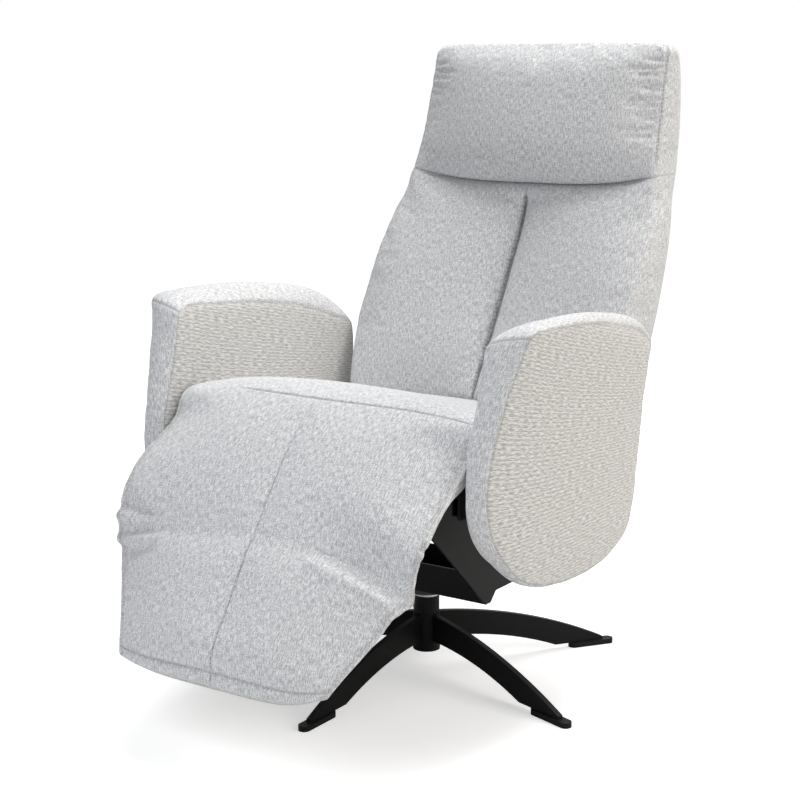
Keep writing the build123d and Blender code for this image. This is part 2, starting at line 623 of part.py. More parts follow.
def make_back():
    board = back_slab(BACK_BOARD_LOW, BACK_BOARD_HIGH, -BACK_BOARD_THICKNESS, 0, BACK_BOARD_HALF_WIDTH)
    shapes["back_board"] = board
    cushion = loft([back_section(*values) for values in BACK_SLICES])
    far = 2 * BACK_BOARD_HIGH
    behind = -BACK_BOARD_THICKNESS
    pocket_half = BACK_BOARD_HALF_WIDTH + HINGE_PLATE + SOFT_GAP
    cushion -= back_slab(-far, far, -far, behind, far)
    cushion -= back_slab(-far, far, behind - SOFT_GAP, SOFT_GAP, pocket_half)
    cushion -= crease_cut(-CREASE_DROP, 1)
    cushion -= head_hinge_room()
    shapes["back_cushion"] = cushion
    pad = loft([rear_pad_section(*values) for values in REAR_PAD_SLICES])
    shapes["back_rear_pad"] = pad - crease_cut(-CREASE_DROP, 1)


def rear_pad_section(along, inset, depth):
    """A slice of the padded rear panel, crowned towards the room."""
    half = SEAT_HALF_WIDTH - inset
    y, z = back_point(along, -BACK_BOARD_THICKNESS - SOFT_GAP)
    lean = radians(BACK_RAKE)
    plane = Plane((0, y, z), x_dir=(-1, 0, 0), z_dir=(0, sin(lean), cos(lean)))
    edge = -depth * 0.75
    rim = half - BACK_EDGE_ROUND / 2
    bulge = half + BACK_EDGE_ROUND / 4
    face = make_face([
        Line((-half, 0), (half, 0)),
        ThreePointArc((half, 0), (bulge, edge / 2), (rim, edge)),
        ThreePointArc((rim, edge), (0, -depth), (-rim, edge)),
        ThreePointArc((-rim, edge), (-bulge, edge / 2), (-half, 0)),
    ])
    return plane * face


# Head section: hinge strip on the back board, sheet frame and crowned cushion

def crease_cut(angle, side):
    """What lies above (side 1) or below (side -1) a crease face that runs forward from the pivot."""
    far = 300
    y, z = HEAD_PIVOT_Y, HEAD_PIVOT_Z
    lip = (y - far * cos(radians(angle)), z + far * sin(radians(angle)))
    level = z - side * SOFT_GAP
    outline = polygon(
        lip, (y, level), (y + far, level), (y + far, z + side * far), (y - far, z + side * far)
    )
    return in_yz(outline, -far, far)


def head_hinge_room():
    """Space in both cushions for the two pairs of hinge ears."""
    x = HEAD_EAR_X - HEAD_EAR - 2 * SIDE_GAP
    front = HEAD_PIVOT_Y - HEAD_EYE_RADIUS - SIDE_GAP
    top = HEAD_SHEET_BOTTOM + HEAD_EAR_FOOT + 2 * SIDE_GAP
    rear = HEAD_SHEET_Y + HEAD_SHEET + SOFT_GAP
    foot = BACK_BOARD_HIGH - HEAD_HINGE_FOOT - SIDE_GAP
    outline = polygon(
        (front, HEAD_PIVOT_Z + HEAD_EYE_RADIUS), (HEAD_SHEET_Y - 2 * SIDE_GAP, top),
        (rear, top), (rear, HEAD_PIVOT_Z),
        back_point(BACK_BOARD_HIGH, -SOFT_GAP), back_point(foot, -SOFT_GAP),
        (front, HEAD_PIVOT_Z - HEAD_EYE_RADIUS),
    )
    return with_mirror(in_yz(outline, x, x + 2 * HEAD_EAR + 4 * SIDE_GAP))


def make_head():
    ear_x = HEAD_EAR_X - HEAD_EAR
    eye = Pos(HEAD_PIVOT_Y, HEAD_PIVOT_Z) * Circle(HEAD_EYE_RADIUS)
    web = polygon(
        back_point(BACK_BOARD_HIGH - HEAD_HINGE_FOOT, 0), back_point(BACK_BOARD_HIGH, 0),
        (HEAD_PIVOT_Y + HEAD_EYE_RADIUS * 0.8, HEAD_PIVOT_Z - HEAD_EYE_RADIUS * 0.6),
        (HEAD_PIVOT_Y - HEAD_EYE_RADIUS * 0.8, HEAD_PIVOT_Z - HEAD_EYE_RADIUS * 0.6),
    )
    leaf = in_yz(web + eye, ear_x, HEAD_EAR_X)
    leaf -= rod_x(HEAD_PIN_RADIUS + RUN_GAP, ear_x, HEAD_EAR_X, HEAD_PIVOT_Y, HEAD_PIVOT_Z)
    both_sides("head_hinge", leaf)

    lean = tan(radians(HEAD_SHEET_RAKE))
    top_y = HEAD_SHEET_Y + (HEAD_SHEET_TOP - HEAD_SHEET_BOTTOM) * lean
    sheet = polygon(
        (HEAD_SHEET_Y, HEAD_SHEET_BOTTOM), (HEAD_SHEET_Y + HEAD_SHEET, HEAD_SHEET_BOTTOM),
        (top_y + HEAD_SHEET, HEAD_SHEET_TOP), (top_y, HEAD_SHEET_TOP),
    )
    frame = in_yz(sheet, -HEAD_SHEET_HALF_WIDTH, HEAD_SHEET_HALF_WIDTH)
    ear = polygon(
        (HEAD_PIVOT_Y, HEAD_PIVOT_Z - HEAD_EYE_RADIUS), (HEAD_SHEET_Y + HEAD_SHEET, HEAD_SHEET_BOTTOM),
        (HEAD_SHEET_Y + HEAD_SHEET, HEAD_SHEET_BOTTOM + HEAD_EAR_FOOT),
        (HEAD_PIVOT_Y, HEAD_PIVOT_Z + HEAD_EYE_RADIUS),
    )
    x0 = HEAD_EAR_X + RUN_GAP
    ear = in_yz(ear + eye, x0, x0 + HEAD_EAR)
    ear += rod_x(HEAD_PIN_RADIUS, ear_x - SIDE_GAP, x0, HEAD_PIVOT_Y, HEAD_PIVOT_Z)
    shapes["head_frame"] = frame + with_mirror(ear)

    cushion = loft([head_section(*values) for values in HEAD_SLICES])
    cushion -= crease_cut(HEAD_TILT + SWING_SPARE - CREASE_DROP, -1)
    slot_half = HEAD_SHEET_HALF_WIDTH + SOFT_GAP
    slot = in_yz(offset(sheet, SOFT_GAP), -slot_half, slot_half)
    slot += block(
        -slot_half, slot_half, HEAD_SHEET_Y - SOFT_GAP, HEAD_SHEET_Y + HEAD_SHEET + SOFT_GAP,
        HEAD_PIVOT_Z - 2 * HEAD_EAR_FOOT, HEAD_SHEET_BOTTOM,
    )
    shapes["head_cushion"] = cushion - slot - head_hinge_room()


def head_section(z, inset, edge, rear):
    """A level slice of the head cushion, padded front and back."""
    half = SEAT_HALF_WIDTH - inset
    r = min(BACK_EDGE_ROUND, (rear - edge) / 3)
    nick = r * 0.3
    centre = edge - HEAD_CROWN
    front, side, tail, end = (half - r, edge), (half, edge + r), (half, rear - r), (half - r, rear)

    def flip(point):
        return (-point[0], point[1])

    face = make_face([
        ThreePointArc(flip(front), (0, centre), front),
        ThreePointArc(front, (half - nick, edge + nick), side),
        Line(side, tail),
        ThreePointArc(tail, (half - nick, rear - nick), end),
        ThreePointArc(end, (0, rear + nick), flip(end)),
        ThreePointArc(flip(end), (-half + nick, rear - nick), flip(tail)),
        Line(flip(tail), flip(side)),
        ThreePointArc(flip(side), (-half + nick, edge + nick), flip(front)),
    ])
    return Plane.XY.offset(z) * face


# Footrest: everything is placed along the panel and up from its steel sheet

def foot_direction():
    pitch = radians(FOOT_PITCH)
    return Vector(0, -cos(pitch), -sin(pitch))


def foot_slice(along):
    """The plane across the footrest at this distance from the knee pin."""
    centre = Vector(0, KNEE_Y, KNEE_Z) + foot_direction() * along
    return Plane(centre, x_dir=(1, 0, 0), z_dir=foot_direction())


def foot_side(outline, x0, x1):
    """A side-on face given as (distance from the knee pin, height over the sheet), thickened in x."""
    side = Plane((x0, KNEE_Y, KNEE_Z), x_dir=foot_direction(), z_dir=(-1, 0, 0))
    return extrude(side * outline, amount=x0 - x1)


def foot_rod(radius, x0, x1, along, height):
    return foot_side(Pos(along, height) * Circle(radius), x0, x1)


def foot_section(along, half, crown, edge):
    """A slice of the footrest padding: two panels either side of the middle seam."""
    seam = (0, crown - FOOT_SEAM_DEPTH)
    foot, waist, rim = (half - 8, SOFT_GAP), (half, edge * 0.6), (half - 12, edge)
    panel = (half * 0.5, crown * 0.97)

    def flip(point):
        return (-point[0], point[1])

    face = make_face([
        Line(flip(foot), foot),
        ThreePointArc(foot, waist, rim),
        ThreePointArc(rim, panel, seam),
        ThreePointArc(seam, flip(panel), flip(rim)),
        ThreePointArc(flip(rim), flip(waist), flip(foot)),
    ])
    return foot_slice(along) * face


def make_calf():
    start, end = KNEE_EAR_ROOM, FLAP_AT - FLAP_ROOM
    sheet = foot_side(
        polygon((start, -FOOT_SHEET), (end, -FOOT_SHEET), (end, 0), (start, 0)),
        -RAIL_X, RAIL_X,
    )
    ear = polygon(
        (0, KNEE_EYE_RADIUS), (KNEE_EAR_REACH, 0), (KNEE_EAR_REACH, -FOOT_SHEET), (0, -KNEE_EYE_RADIUS)
    )
    x1 = RAIL_X
    ear = foot_side(ear + Circle(KNEE_EYE_RADIUS), x1 - KNEE_EAR, x1)
    ear += foot_rod(KNEE_PIN_RADIUS, x1, RAIL_OUTER + KNEE_BRACKET + SIDE_GAP, 0, 0)
    frame = sheet + with_mirror(ear)
    shapes["calf_frame"] = frame + with_mirror(flap_ear(-1, FLAP_EAR_X + RUN_GAP))
    cushion = loft([
        foot_section(along, CALF_HALF_WIDTH - inset, crown, edge) for along, inset, crown, edge in CALF_SLICES
    ])
    lean = radians(SEAT_LIP_LEAN + FOOT_RAISE + SWING_SPARE - (90 - FOOT_PITCH))
    far = 3 * FOOT_CROWN
    step = FLAP_PIVOT_HEIGHT + FLAP_EYE_RADIUS + SIDE_GAP
    fold = tan(radians((FLAP_FOLD + SWING_SPARE) / 2))
    keep = polygon(
        (KNEE_PIN_RADIUS, 0), (KNEE_PIN_RADIUS + far * tan(lean), far),
        (FLAP_AT - (far - FLAP_PIVOT_HEIGHT) * fold, far),
        (FLAP_AT - (step - FLAP_PIVOT_HEIGHT) * fold, step),
        (end, step), (end, 0),
    )
    cushion &= foot_side(keep, -2 * CALF_HALF_WIDTH, 2 * CALF_HALF_WIDTH)
    near, reach = -KNEE_EAR_ROOM, KNEE_EAR_REACH + KNEE_EAR_ROOM
    roof = KNEE_EYE_RADIUS + KNEE_EAR
    room = polygon((near, near), (reach, near), (reach, roof), (near, roof))
    room = foot_side(room, RAIL_INNER - SIDE_GAP, RAIL_OUTER + KNEE_BRACKET + 4 * SIDE_GAP)
    shapes["calf_cushion"] = cushion - with_mirror(room)


def flap_ear(side, x0):
    """A hinge ear that reaches back from the flap pivot to its sheet; side is -1 towards the knee."""
    root = FLAP_AT + side * FLAP_ROOM
    foot = root + side * FLAP_EAR_FOOT
    under = -FOOT_SHEET - FLAP_EYE_RADIUS
    neck = FLAP_AT + side * FLAP_EYE_RADIUS
    web = polygon(
        (foot, -FOOT_SHEET), (foot, under), (FLAP_AT, under), (FLAP_AT, FLAP_PIVOT_HEIGHT),
        (neck, FLAP_PIVOT_HEIGHT), (neck, -FOOT_SHEET),
    )
    eye = Pos(FLAP_AT, FLAP_PIVOT_HEIGHT) * Circle(FLAP_EYE_RADIUS)
    ear = foot_side(web + eye, x0, x0 + FLAP_EAR)
    if side < 0:
        return ear - foot_rod(FLAP_PIN_RADIUS + RUN_GAP, x0, x0 + FLAP_EAR, FLAP_AT, FLAP_PIVOT_HEIGHT)
    pin_end = x0 + 2 * FLAP_EAR + RUN_GAP + SIDE_GAP
    return ear + foot_rod(FLAP_PIN_RADIUS, x0 + FLAP_EAR, pin_end, FLAP_AT, FLAP_PIVOT_HEIGHT)


def make_flap():
    root = FLAP_AT + FLAP_ROOM
    end = FOOT_LENGTH - FLAP_SHEET_SETBACK
    plan = polygon(
        (-FLAP_SHEET_ROOT, root), (FLAP_SHEET_ROOT, root), (FLAP_SHEET_END, end), (-FLAP_SHEET_END, end)
    )
    under = Plane((0, KNEE_Y, KNEE_Z), x_dir=(1, 0, 0), z_dir=Vector(1, 0, 0).cross(foot_direction()))
    sheet = extrude(under * plan, amount=FOOT_SHEET)
    shapes["flap_frame"] = sheet + with_mirror(flap_ear(1, FLAP_EAR_X - FLAP_EAR))
    taper = (FLAP_ROOT_HALF_WIDTH - FLAP_END_HALF_WIDTH) / (FOOT_LENGTH - FLAP_AT)
    cushion = loft([
        foot_section(along, FLAP_ROOT_HALF_WIDTH - taper * (along - FLAP_AT), crown, edge)
        for along, crown, edge in FLAP_SLICES
    ])
    far = 3 * FOOT_CROWN
    step = FLAP_PIVOT_HEIGHT + FLAP_EYE_RADIUS + SIDE_GAP
    fold = tan(radians((FLAP_FOLD + SWING_SPARE) / 2))
    keep = polygon(
        (root, 0), (root, step), (FLAP_AT + (step - FLAP_PIVOT_HEIGHT) * fold, step),
        (FLAP_AT + (far - FLAP_PIVOT_HEIGHT) * fold, far), (2 * FOOT_LENGTH, far), (2 * FOOT_LENGTH, 0),
    )
    shapes["flap_cushion"] = cushion & foot_side(keep, -2 * CALF_HALF_WIDTH, 2 * CALF_HALF_WIDTH)


def make_knee_brackets():
    x0, x1 = RAIL_OUTER, RAIL_OUTER + KNEE_BRACKET
    front, rear = KNEE_Y - KNEE_EYE_RADIUS, KNEE_Y + KNEE_EYE_RADIUS
    foot = rear + KNEE_BRACKET_FOOT
    outline = polygon(
        (front, RAIL_BOTTOM), (foot, RAIL_BOTTOM), (foot, RAIL_TOP), (rear, RAIL_TOP),
        (rear, KNEE_Z), (front, KNEE_Z),
    )
    plate = in_yz(outline + Pos(KNEE_Y, KNEE_Z) * Circle(KNEE_EYE_RADIUS), x0, x1)
    plate -= rod_x(KNEE_PIN_RADIUS + RUN_GAP, x0, x1, KNEE_Y, KNEE_Z)
    both_sides("knee_bracket", plate)


make_base()
make_spindle()
make_cradle()
make_side_plates()
make_seat_frame()
make_seat_cushion()
make_arms()
make_back_hinges()
make_back()
make_head()
make_knee_brackets()
make_calf()
make_flap()

os.makedirs("parts", exist_ok=True)
for name, shape in shapes.items():
    export_step(shape, f"parts/{name}.step")
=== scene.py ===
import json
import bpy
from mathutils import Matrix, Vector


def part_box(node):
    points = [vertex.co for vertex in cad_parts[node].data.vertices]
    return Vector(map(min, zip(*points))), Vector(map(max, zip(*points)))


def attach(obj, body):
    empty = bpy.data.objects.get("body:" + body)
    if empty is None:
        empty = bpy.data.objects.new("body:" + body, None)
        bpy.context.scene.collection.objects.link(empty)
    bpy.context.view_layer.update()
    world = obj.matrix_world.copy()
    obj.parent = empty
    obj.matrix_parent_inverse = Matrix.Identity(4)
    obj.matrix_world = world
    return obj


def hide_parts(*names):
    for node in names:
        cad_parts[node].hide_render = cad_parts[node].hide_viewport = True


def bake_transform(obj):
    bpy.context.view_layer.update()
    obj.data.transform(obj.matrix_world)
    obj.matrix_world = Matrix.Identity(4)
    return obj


bl_info = {
    "name": "Swivel Recliner Dress",
    "version": (1, 0, 0),
    "blender": (4, 5, 0),
    "location": "3D View > Sidebar > Recliner",
    "description": "Covers the packed recliner frame in woven upholstery and finishes its metalwork",
    "category": "Object",
}

from math import cos, pi, radians, sin

import bmesh
import bpy
import numpy as np
from mathutils import Vector

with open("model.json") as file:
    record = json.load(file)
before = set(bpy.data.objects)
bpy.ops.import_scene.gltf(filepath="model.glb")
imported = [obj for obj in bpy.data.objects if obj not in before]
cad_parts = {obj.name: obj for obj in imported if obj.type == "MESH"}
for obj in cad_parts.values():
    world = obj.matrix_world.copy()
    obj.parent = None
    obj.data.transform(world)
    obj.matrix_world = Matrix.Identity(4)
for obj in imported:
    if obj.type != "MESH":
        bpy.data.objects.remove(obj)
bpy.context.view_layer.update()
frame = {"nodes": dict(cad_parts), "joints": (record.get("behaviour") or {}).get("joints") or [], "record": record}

# Knee line of the footrest, and the way its panel runs down from there
KNEE = np.array(next(j["pos_m"] for j in frame["joints"] if j["name"] == "footrest_lift"))
FOOT_PITCH = radians(53.1)
FOOT_DOWN = np.array((0.0, -cos(FOOT_PITCH), -sin(FOOT_PITCH)))
FOOT_OUT = np.array((0.0, -sin(FOOT_PITCH), cos(FOOT_PITCH)))
CALF_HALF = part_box("calf_cushion")[1][0]


class ReclinerCloth(bpy.types.PropertyGroup):
    """Colours and sizes of the upholstery"""

    yarn_light: bpy.props.FloatVectorProperty(
        name="Light yarn", description="Lighter thread of the grey melange", subtype="COLOR",
        default=(0.76, 0.76, 0.765), min=0, max=1)
    yarn_dark: bpy.props.FloatVectorProperty(
        name="Dark yarn", description="Darker thread of the grey melange", subtype="COLOR",
        default=(0.40, 0.405, 0.425), min=0, max=1)
    # The ribbed threads are tinted warmer than the melange: painted warm side light; the ribbing itself is the
    # fabric's own
    rib_light: bpy.props.FloatVectorProperty(
        name="Light rib", description="Lighter thread of the ribbed arm sides", subtype="COLOR",
        default=(0.765, 0.755, 0.74), min=0, max=1)
    rib_dark: bpy.props.FloatVectorProperty(
        name="Dark rib", description="Darker thread of the ribbed arm sides", subtype="COLOR",
        default=(0.39, 0.385, 0.375), min=0, max=1)
    streak_width: bpy.props.FloatProperty(
        name="Streak width", description="Width of one melange streak", default=0.0014, unit="LENGTH")
    streak_length: bpy.props.FloatProperty(
        name="Streak length", description="Length of one melange streak", default=0.0105, unit="LENGTH")
    rib_pitch: bpy.props.FloatProperty(
        name="Rib pitch", description="Height of one rib on the arm sides", default=0.0055, unit="LENGTH")
    seam_depth: bpy.props.FloatProperty(
        name="Seam depth", description="How far a sewn seam pulls the cover in", default=0.0032, unit="LENGTH")


class ReclinerStage(bpy.types.PropertyGroup):
    """Camera and light of the studio"""

    camera_place: bpy.props.FloatVectorProperty(
        name="Camera place", description="Where the camera stands", subtype="TRANSLATION", unit="LENGTH",
        default=(1.5353, -2.3521, 1.0423))
    camera_aim: bpy.props.FloatVectorProperty(
        name="Camera aim", description="Point in the middle of the picture", subtype="TRANSLATION", unit="LENGTH",
        default=(-0.0389, -0.0263, 0.480))
    lens: bpy.props.FloatProperty(
        name="Lens", description="Focal length in millimetres", default=74.94, min=10)
    floor_size: bpy.props.FloatProperty(
        name="Floor size", description="Side of the square floor", default=30.0, unit="LENGTH")
    top_light: bpy.props.FloatProperty(
        name="Top light", description="Power of the overhead soft box in watts", default=131.0, min=0)
    warm_light: bpy.props.FloatProperty(
        name="Warm light", description="Power of the warm side light in watts", default=53.0, min=0)
    front_light: bpy.props.FloatProperty(
        name="Front light", description="Power of the near front light in watts", default=19.5, min=0)
    ambient: bpy.props.FloatProperty(
        name="Ambient", description="Strength of the studio's all-round light", default=0.06, min=0)


# Curves and grids

def through(table, at):
    """Read a table of rows smoothly between its entries; the first column is the place."""
    table = np.asarray(table, float)
    knots, values = table[:, 0], table[:, 1:]
    slopes = np.gradient(values, knots, axis=0)
    at = np.clip(np.asarray(at, float), knots[0], knots[-1])
    i = np.clip(np.searchsorted(knots, at, side="right") - 1, 0, len(knots) - 2)
    step = (knots[i + 1] - knots[i])[..., None]
    u = (at[..., None] - knots[i][..., None]) / step
    return ((2 * u**3 - 3 * u**2 + 1) * values[i] + (u**3 - 2 * u**2 + u) * slopes[i] * step
            + (3 * u**2 - 2 * u**3) * values[i + 1] + (u**3 - u**2) * slopes[i + 1] * step)


def run_length(points):
    """Distance along a row of points, from its first."""
    steps = np.linalg.norm(np.diff(np.asarray(points, float), axis=0), axis=1)
    return np.concatenate(([0.0], np.cumsum(steps)))


def run_across(grid):
    """Distance along each row of a grid, from its first point."""
    steps = np.linalg.norm(np.diff(grid, axis=1), axis=2)
    return np.concatenate((np.zeros((len(grid), 1)), np.cumsum(steps, axis=1)), axis=1)


def woven_at(across, up):
    """Places in the weave of a grid: across at each point, up by the row."""
    return np.stack((across, np.repeat(up[:, None], across.shape[1], 1)), axis=-1)


def ease(low, high, at):
    """0 below low, 1 above high, smooth between."""
    u = np.clip((at - low) / (high - low), 0, 1)
    return u * u * (3 - 2 * u)


def half_columns(width, count, near=(0.0, 0.0025, 0.008, 0.018)):
    """Places across half a panel, close together at its middle seam."""
    return np.concatenate((near, np.linspace(near[-1], width, count)[1:]))


def mirrored(half):
    return np.concatenate((-half[:0:-1], half))


def spanned(front, right, rear, left):
    """Grid of points inside four edges: front and rear run across, left and right from front to rear."""
    u = run_length(front) / run_length(front)[-1]
    v = np.linspace(0, 1, len(left))
    u, v = u[None, :, None], v[:, None, None]
    edges = (1 - v) * front[None] + v * rear[None] + (1 - u) * left[:, None] + u * right[:, None]
    corners = ((1 - u) * (1 - v) * front[0] + u * (1 - v) * front[-1]
               + (1 - u) * v * rear[0] + u * v * rear[-1])
    return edges - corners


def foot_point(s, t, x):
    """Place on the footrest: s down its panel from the knee, t out from it, x across."""
    s, t, x = np.broadcast_arrays(*(np.asarray(q, float) for q in (s, t, x)))
    place = KNEE + s[..., None] * FOOT_DOWN + t[..., None] * FOOT_OUT
    place[..., 0] = x
    return place


# Covers

class Panel:
    """A grid of cloth: points, places in the weave, and where it is sewn or held still; the sewn strength also sets
    painted shade along seams and creases.
    """

    def __init__(self, points, weave, seam=0.0, hold=0.0, finish=0):
        self.points = np.asarray(points, float)
        shape = self.points.shape[:2]
        self.weave = np.broadcast_to(np.asarray(weave, float), shape + (2,))
        self.seam = np.broadcast_to(np.asarray(seam, float), shape)
        self.hold = np.broadcast_to(np.asarray(hold, float), shape)
        self.finish = np.broadcast_to(np.asarray(finish, int), (shape[0] - 1, shape[1] - 1))


def sew(name, panels, finishes):
    """Join panels whose edges meet into one cover."""
    points, weave, seam, hold, faces, finish = [], [], [], [], [], []
    start = 0
    for panel in panels:
        rows, columns = panel.points.shape[:2]
        index = start + np.arange(rows * columns).reshape(rows, columns)
        quads = np.stack((index[:-1, :-1], index[:-1, 1:], index[1:, 1:], index[1:, :-1]), axis=-1)
        faces.append(quads.reshape(-1, 4))
        finish.append(panel.finish.reshape(-1))
        points.append(panel.points.reshape(-1, 3))
        weave.append(panel.weave.reshape(-1, 2))
        seam.append(panel.seam.reshape(-1))
        hold.append(panel.hold.reshape(-1))
        start += rows * columns
    points, weave, faces = np.concatenate(points), np.concatenate(weave), np.concatenate(faces)
    mesh = bpy.data.meshes.new(name)
    mesh.from_pydata(points.tolist(), [], faces.tolist())
    for material in finishes:
        mesh.materials.append(material)
    mesh.polygons.foreach_set("material_index", np.concatenate(finish).astype(np.int32))
    mesh.uv_layers.new(name="weave").uv.foreach_set("vector", weave[faces.reshape(-1)].reshape(-1))
    # The seam attribute sinks seams in and, in the cloth finish, paints their stitches and the shade in their grooves
    for label, values in (("seam", np.concatenate(seam)), ("hold", np.concatenate(hold))):
        mesh.attributes.new(label, "FLOAT", "POINT").data.foreach_set("value", values.astype(np.float32))
    cloth = bmesh.new()
    cloth.from_mesh(mesh)
    bmesh.ops.remove_doubles(cloth, verts=cloth.verts, dist=2e-4)
    bmesh.ops.dissolve_degenerate(cloth, edges=cloth.edges, dist=1e-5)
    bmesh.ops.recalc_face_normals(cloth, faces=cloth.faces)
    cloth.to_mesh(mesh)
    cloth.free()
    piece = bpy.data.objects.new(name, mesh)
    bpy.context.scene.collection.objects.link(piece)
    return piece


def corners_of(mesh):
    places = np.empty(len(mesh.vertices) * 3)
    mesh.vertices.foreach_get("co", places)
    return places.reshape(-1, 3)


def values_of(mesh, label):
    values = np.empty(len(mesh.vertices), np.float32)
    mesh.attributes[label].data.foreach_get("value", values)
    return values


def place_corners(mesh, places):
    mesh.vertices.foreach_set("co", places.reshape(-1))
    mesh.update()


SWELL_FRAMES = 20


def plump(piece, pressure, spare, limit):
    """Swell a cover like filled cloth between the places where it is held."""
    scene = bpy.context.scene
    before = corners_of(piece.data)
    hold = values_of(piece.data, "hold")
    held = piece.vertex_groups.new(name="held")
    for share in np.unique(hold):
        if share > 0:
            held.add(np.flatnonzero(hold == share).tolist(), float(share), "REPLACE")
    swell = piece.modifiers.new("swell", "CLOTH")
    swell.settings.vertex_group_mass = "held"
    swell.settings.quality = 5
    swell.settings.use_pressure = True
    swell.settings.uniform_pressure_force = pressure
    swell.settings.effector_weights.gravity = 0
    swell.settings.shrink_min = -spare
    swell.collision_settings.use_collision = False
    for number in range(1, SWELL_FRAMES + 1):
        scene.frame_set(number)
    swollen = piece.evaluated_get(bpy.context.evaluated_depsgraph_get())
    moved = corners_of(swollen.data) - before
    piece.modifiers.remove(swell)
    piece.vertex_groups.remove(held)
    scene.frame_set(1)
    length = np.linalg.norm(moved, axis=1, keepdims=True) + 1e-9
    free = (1 - hold[:, None]) * limit * np.tanh(length / limit) / length
    place_corners(piece.data, before + moved * free)


def refine(piece):
    """Round a cover with one level of subdivision, and shade it smoothly."""
    rounder = piece.modifiers.new("round", "SUBSURF")
    rounder.levels = 1
    finer = bpy.data.meshes.new_from_object(piece.evaluated_get(bpy.context.evaluated_depsgraph_get()))
    piece.modifiers.clear()
    coarse, piece.data = piece.data, finer
    finer.name = piece.name
    bpy.data.meshes.remove(coarse)
    finer.polygons.foreach_set("use_smooth", np.ones(len(finer.polygons), bool))


def push(piece, heights):
    """Move a cover's points out along its surface by these heights."""
    mesh = piece.data
    normals = np.empty(len(mesh.vertices) * 3)
    mesh.vertex_normals.foreach_get("vector", normals)
    place_corners(mesh, corners_of(mesh) + normals.reshape(-1, 3) * heights[:, None])


def sink_seams(piece):
    push(piece, -bpy.context.scene.recliner_cloth.seam_depth * values_of(piece.data, "seam"))


FOLD_REACH = 0.045  # how far off the surface a fold's line may lie


def tuck(piece, folds, facing):
    """Press folds into the side of a cover that looks this way: lines of points with a depth and a width.

    A ridge has a negative depth.
    """
    facing = np.asarray(facing, float)
    places = corners_of(piece.data)
    heights = np.zeros(len(places))
    for line, depth, width in folds:
        line = np.asarray(line, float)
        nearest = np.full(len(places), 1e9)
        share = np.zeros(len(places))
        along = run_length(line) / max(run_length(line)[-1], 1e-9)
        for k in range(len(line) - 1):
            run = line[k + 1] - line[k]
            u = np.clip((places - line[k]) @ run / max(run @ run, 1e-12), 0, 1)
            away = places - line[k] - u[:, None] * run
            lift = away @ facing
            gap = np.linalg.norm(away - lift[:, None] * facing, axis=1) + 9.0 * (np.abs(lift) > FOLD_REACH)
            closer = gap < nearest
            nearest[closer] = gap[closer]
            share[closer] = (along[k] + u * (along[k + 1] - along[k]))[closer]
        taper = np.sin(pi * np.clip(share * 0.84 + 0.08, 0, 1)) ** 0.7
        heights -= depth * taper * np.exp(-(nearest / width) ** 2)
    push(piece, heights)


def dressed(piece, body=None, replaces=()):
    """Finish a cover: drop its hold attribute, hang it on its body when one is given, and hide the parts it replaces.
    """
    piece.data.attributes.remove(piece.data.attributes["hold"])
    if body:
        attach(piece, body)
    if replaces:
        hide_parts(*replaces)


class Boxed:
    """Level outlines of a boxed cushion, stacked into its wall, with a lid at each end."""

    def __init__(self, outlines):
        self.outlines = outlines
        front = outlines[0][0]
        self.across, self.middle = len(front), len(front) // 2

    def wrapped(self, outline):
        front, right, rear, left = outline
        return np.concatenate((rear[self.middle:], left, front, right, rear[:self.middle + 1]))

    def wall(self):
        return np.stack([self.wrapped(outline) for outline in self.outlines])

    def weave(self, wall):
        """Place in the weave: across from the front's middle, and up."""
        across, middle = run_across(wall), self.front_column()
        return woven_at(across - across[:, middle:middle + 1], run_length(wall[:, middle]))

    def front_column(self):
        """Column of the wall at the middle of the front."""
        return self.across + len(self.outlines[0][3])

    def lid(self, outline):
        front, right, rear, left = outline
        side_left = np.concatenate((front[:1], left[::-1], rear[-1:]))
        side_right = np.concatenate((front[-1:], right, rear[:1]))
        return spanned(front, side_right, rear[::-1], side_left)


def corner(x, y, radius, start, stop, steps):
    turn = np.radians(np.linspace(start, stop, steps))
    return np.stack((x + radius * np.cos(turn), y + radius * np.sin(turn)), axis=1)


def level_outline(half, front_at, rear, round_front, round_rear, columns, z, side_bulge=0.004, rear_bulge=0.006):
    """One level outline: front edge by a function of x, rounded corners, bowed sides and rear."""
    edge = front_at(np.array([half - round_front]))[0]
    inner = half - round_front
    xs = mirrored(columns(inner))
    front_mid = np.stack((xs, front_at(xs)), axis=1)
    turn = corner(inner, edge + round_front, round_front, -90, 0, 7)
    right_front, right_side = turn[1:4], turn[4:]
    mirror = np.array((-1.0, 1.0))
    front = np.concatenate(((right_front * mirror)[::-1], front_mid, right_front))
    side_y = np.linspace(edge + round_front, rear - round_rear, 12)[1:-1]
    u = np.linspace(0, 1, 12)[1:-1]
    side = np.stack((half + side_bulge * np.sin(pi * u), side_y), axis=1)
    turn = corner(half - round_rear, rear - round_rear, round_rear, 0, 90, 7)
    right = np.concatenate((right_side, side, turn[:4]))
    rear_x = np.linspace(half - round_rear, -(half - round_rear), len(front) - 6)
    rear_mid = np.stack((rear_x, rear + rear_bulge * (1 - (rear_x / half) ** 2)), axis=1)
    rear_row = np.concatenate((turn[4:], rear_mid, (turn[4:] * mirror)[::-1]))
    left = (right * mirror)[::-1]
    return [np.column_stack((part, np.full(len(part), z))) for part in (front, right, rear_row, left)]


# Back and head section

CREASE_DIP = 0.025
CREASE_FADE = 0.85  # how much of the crease is gone at the outer edge
CREASE_AT_EDGE = 0.853
HEAD_TOP = 1.085
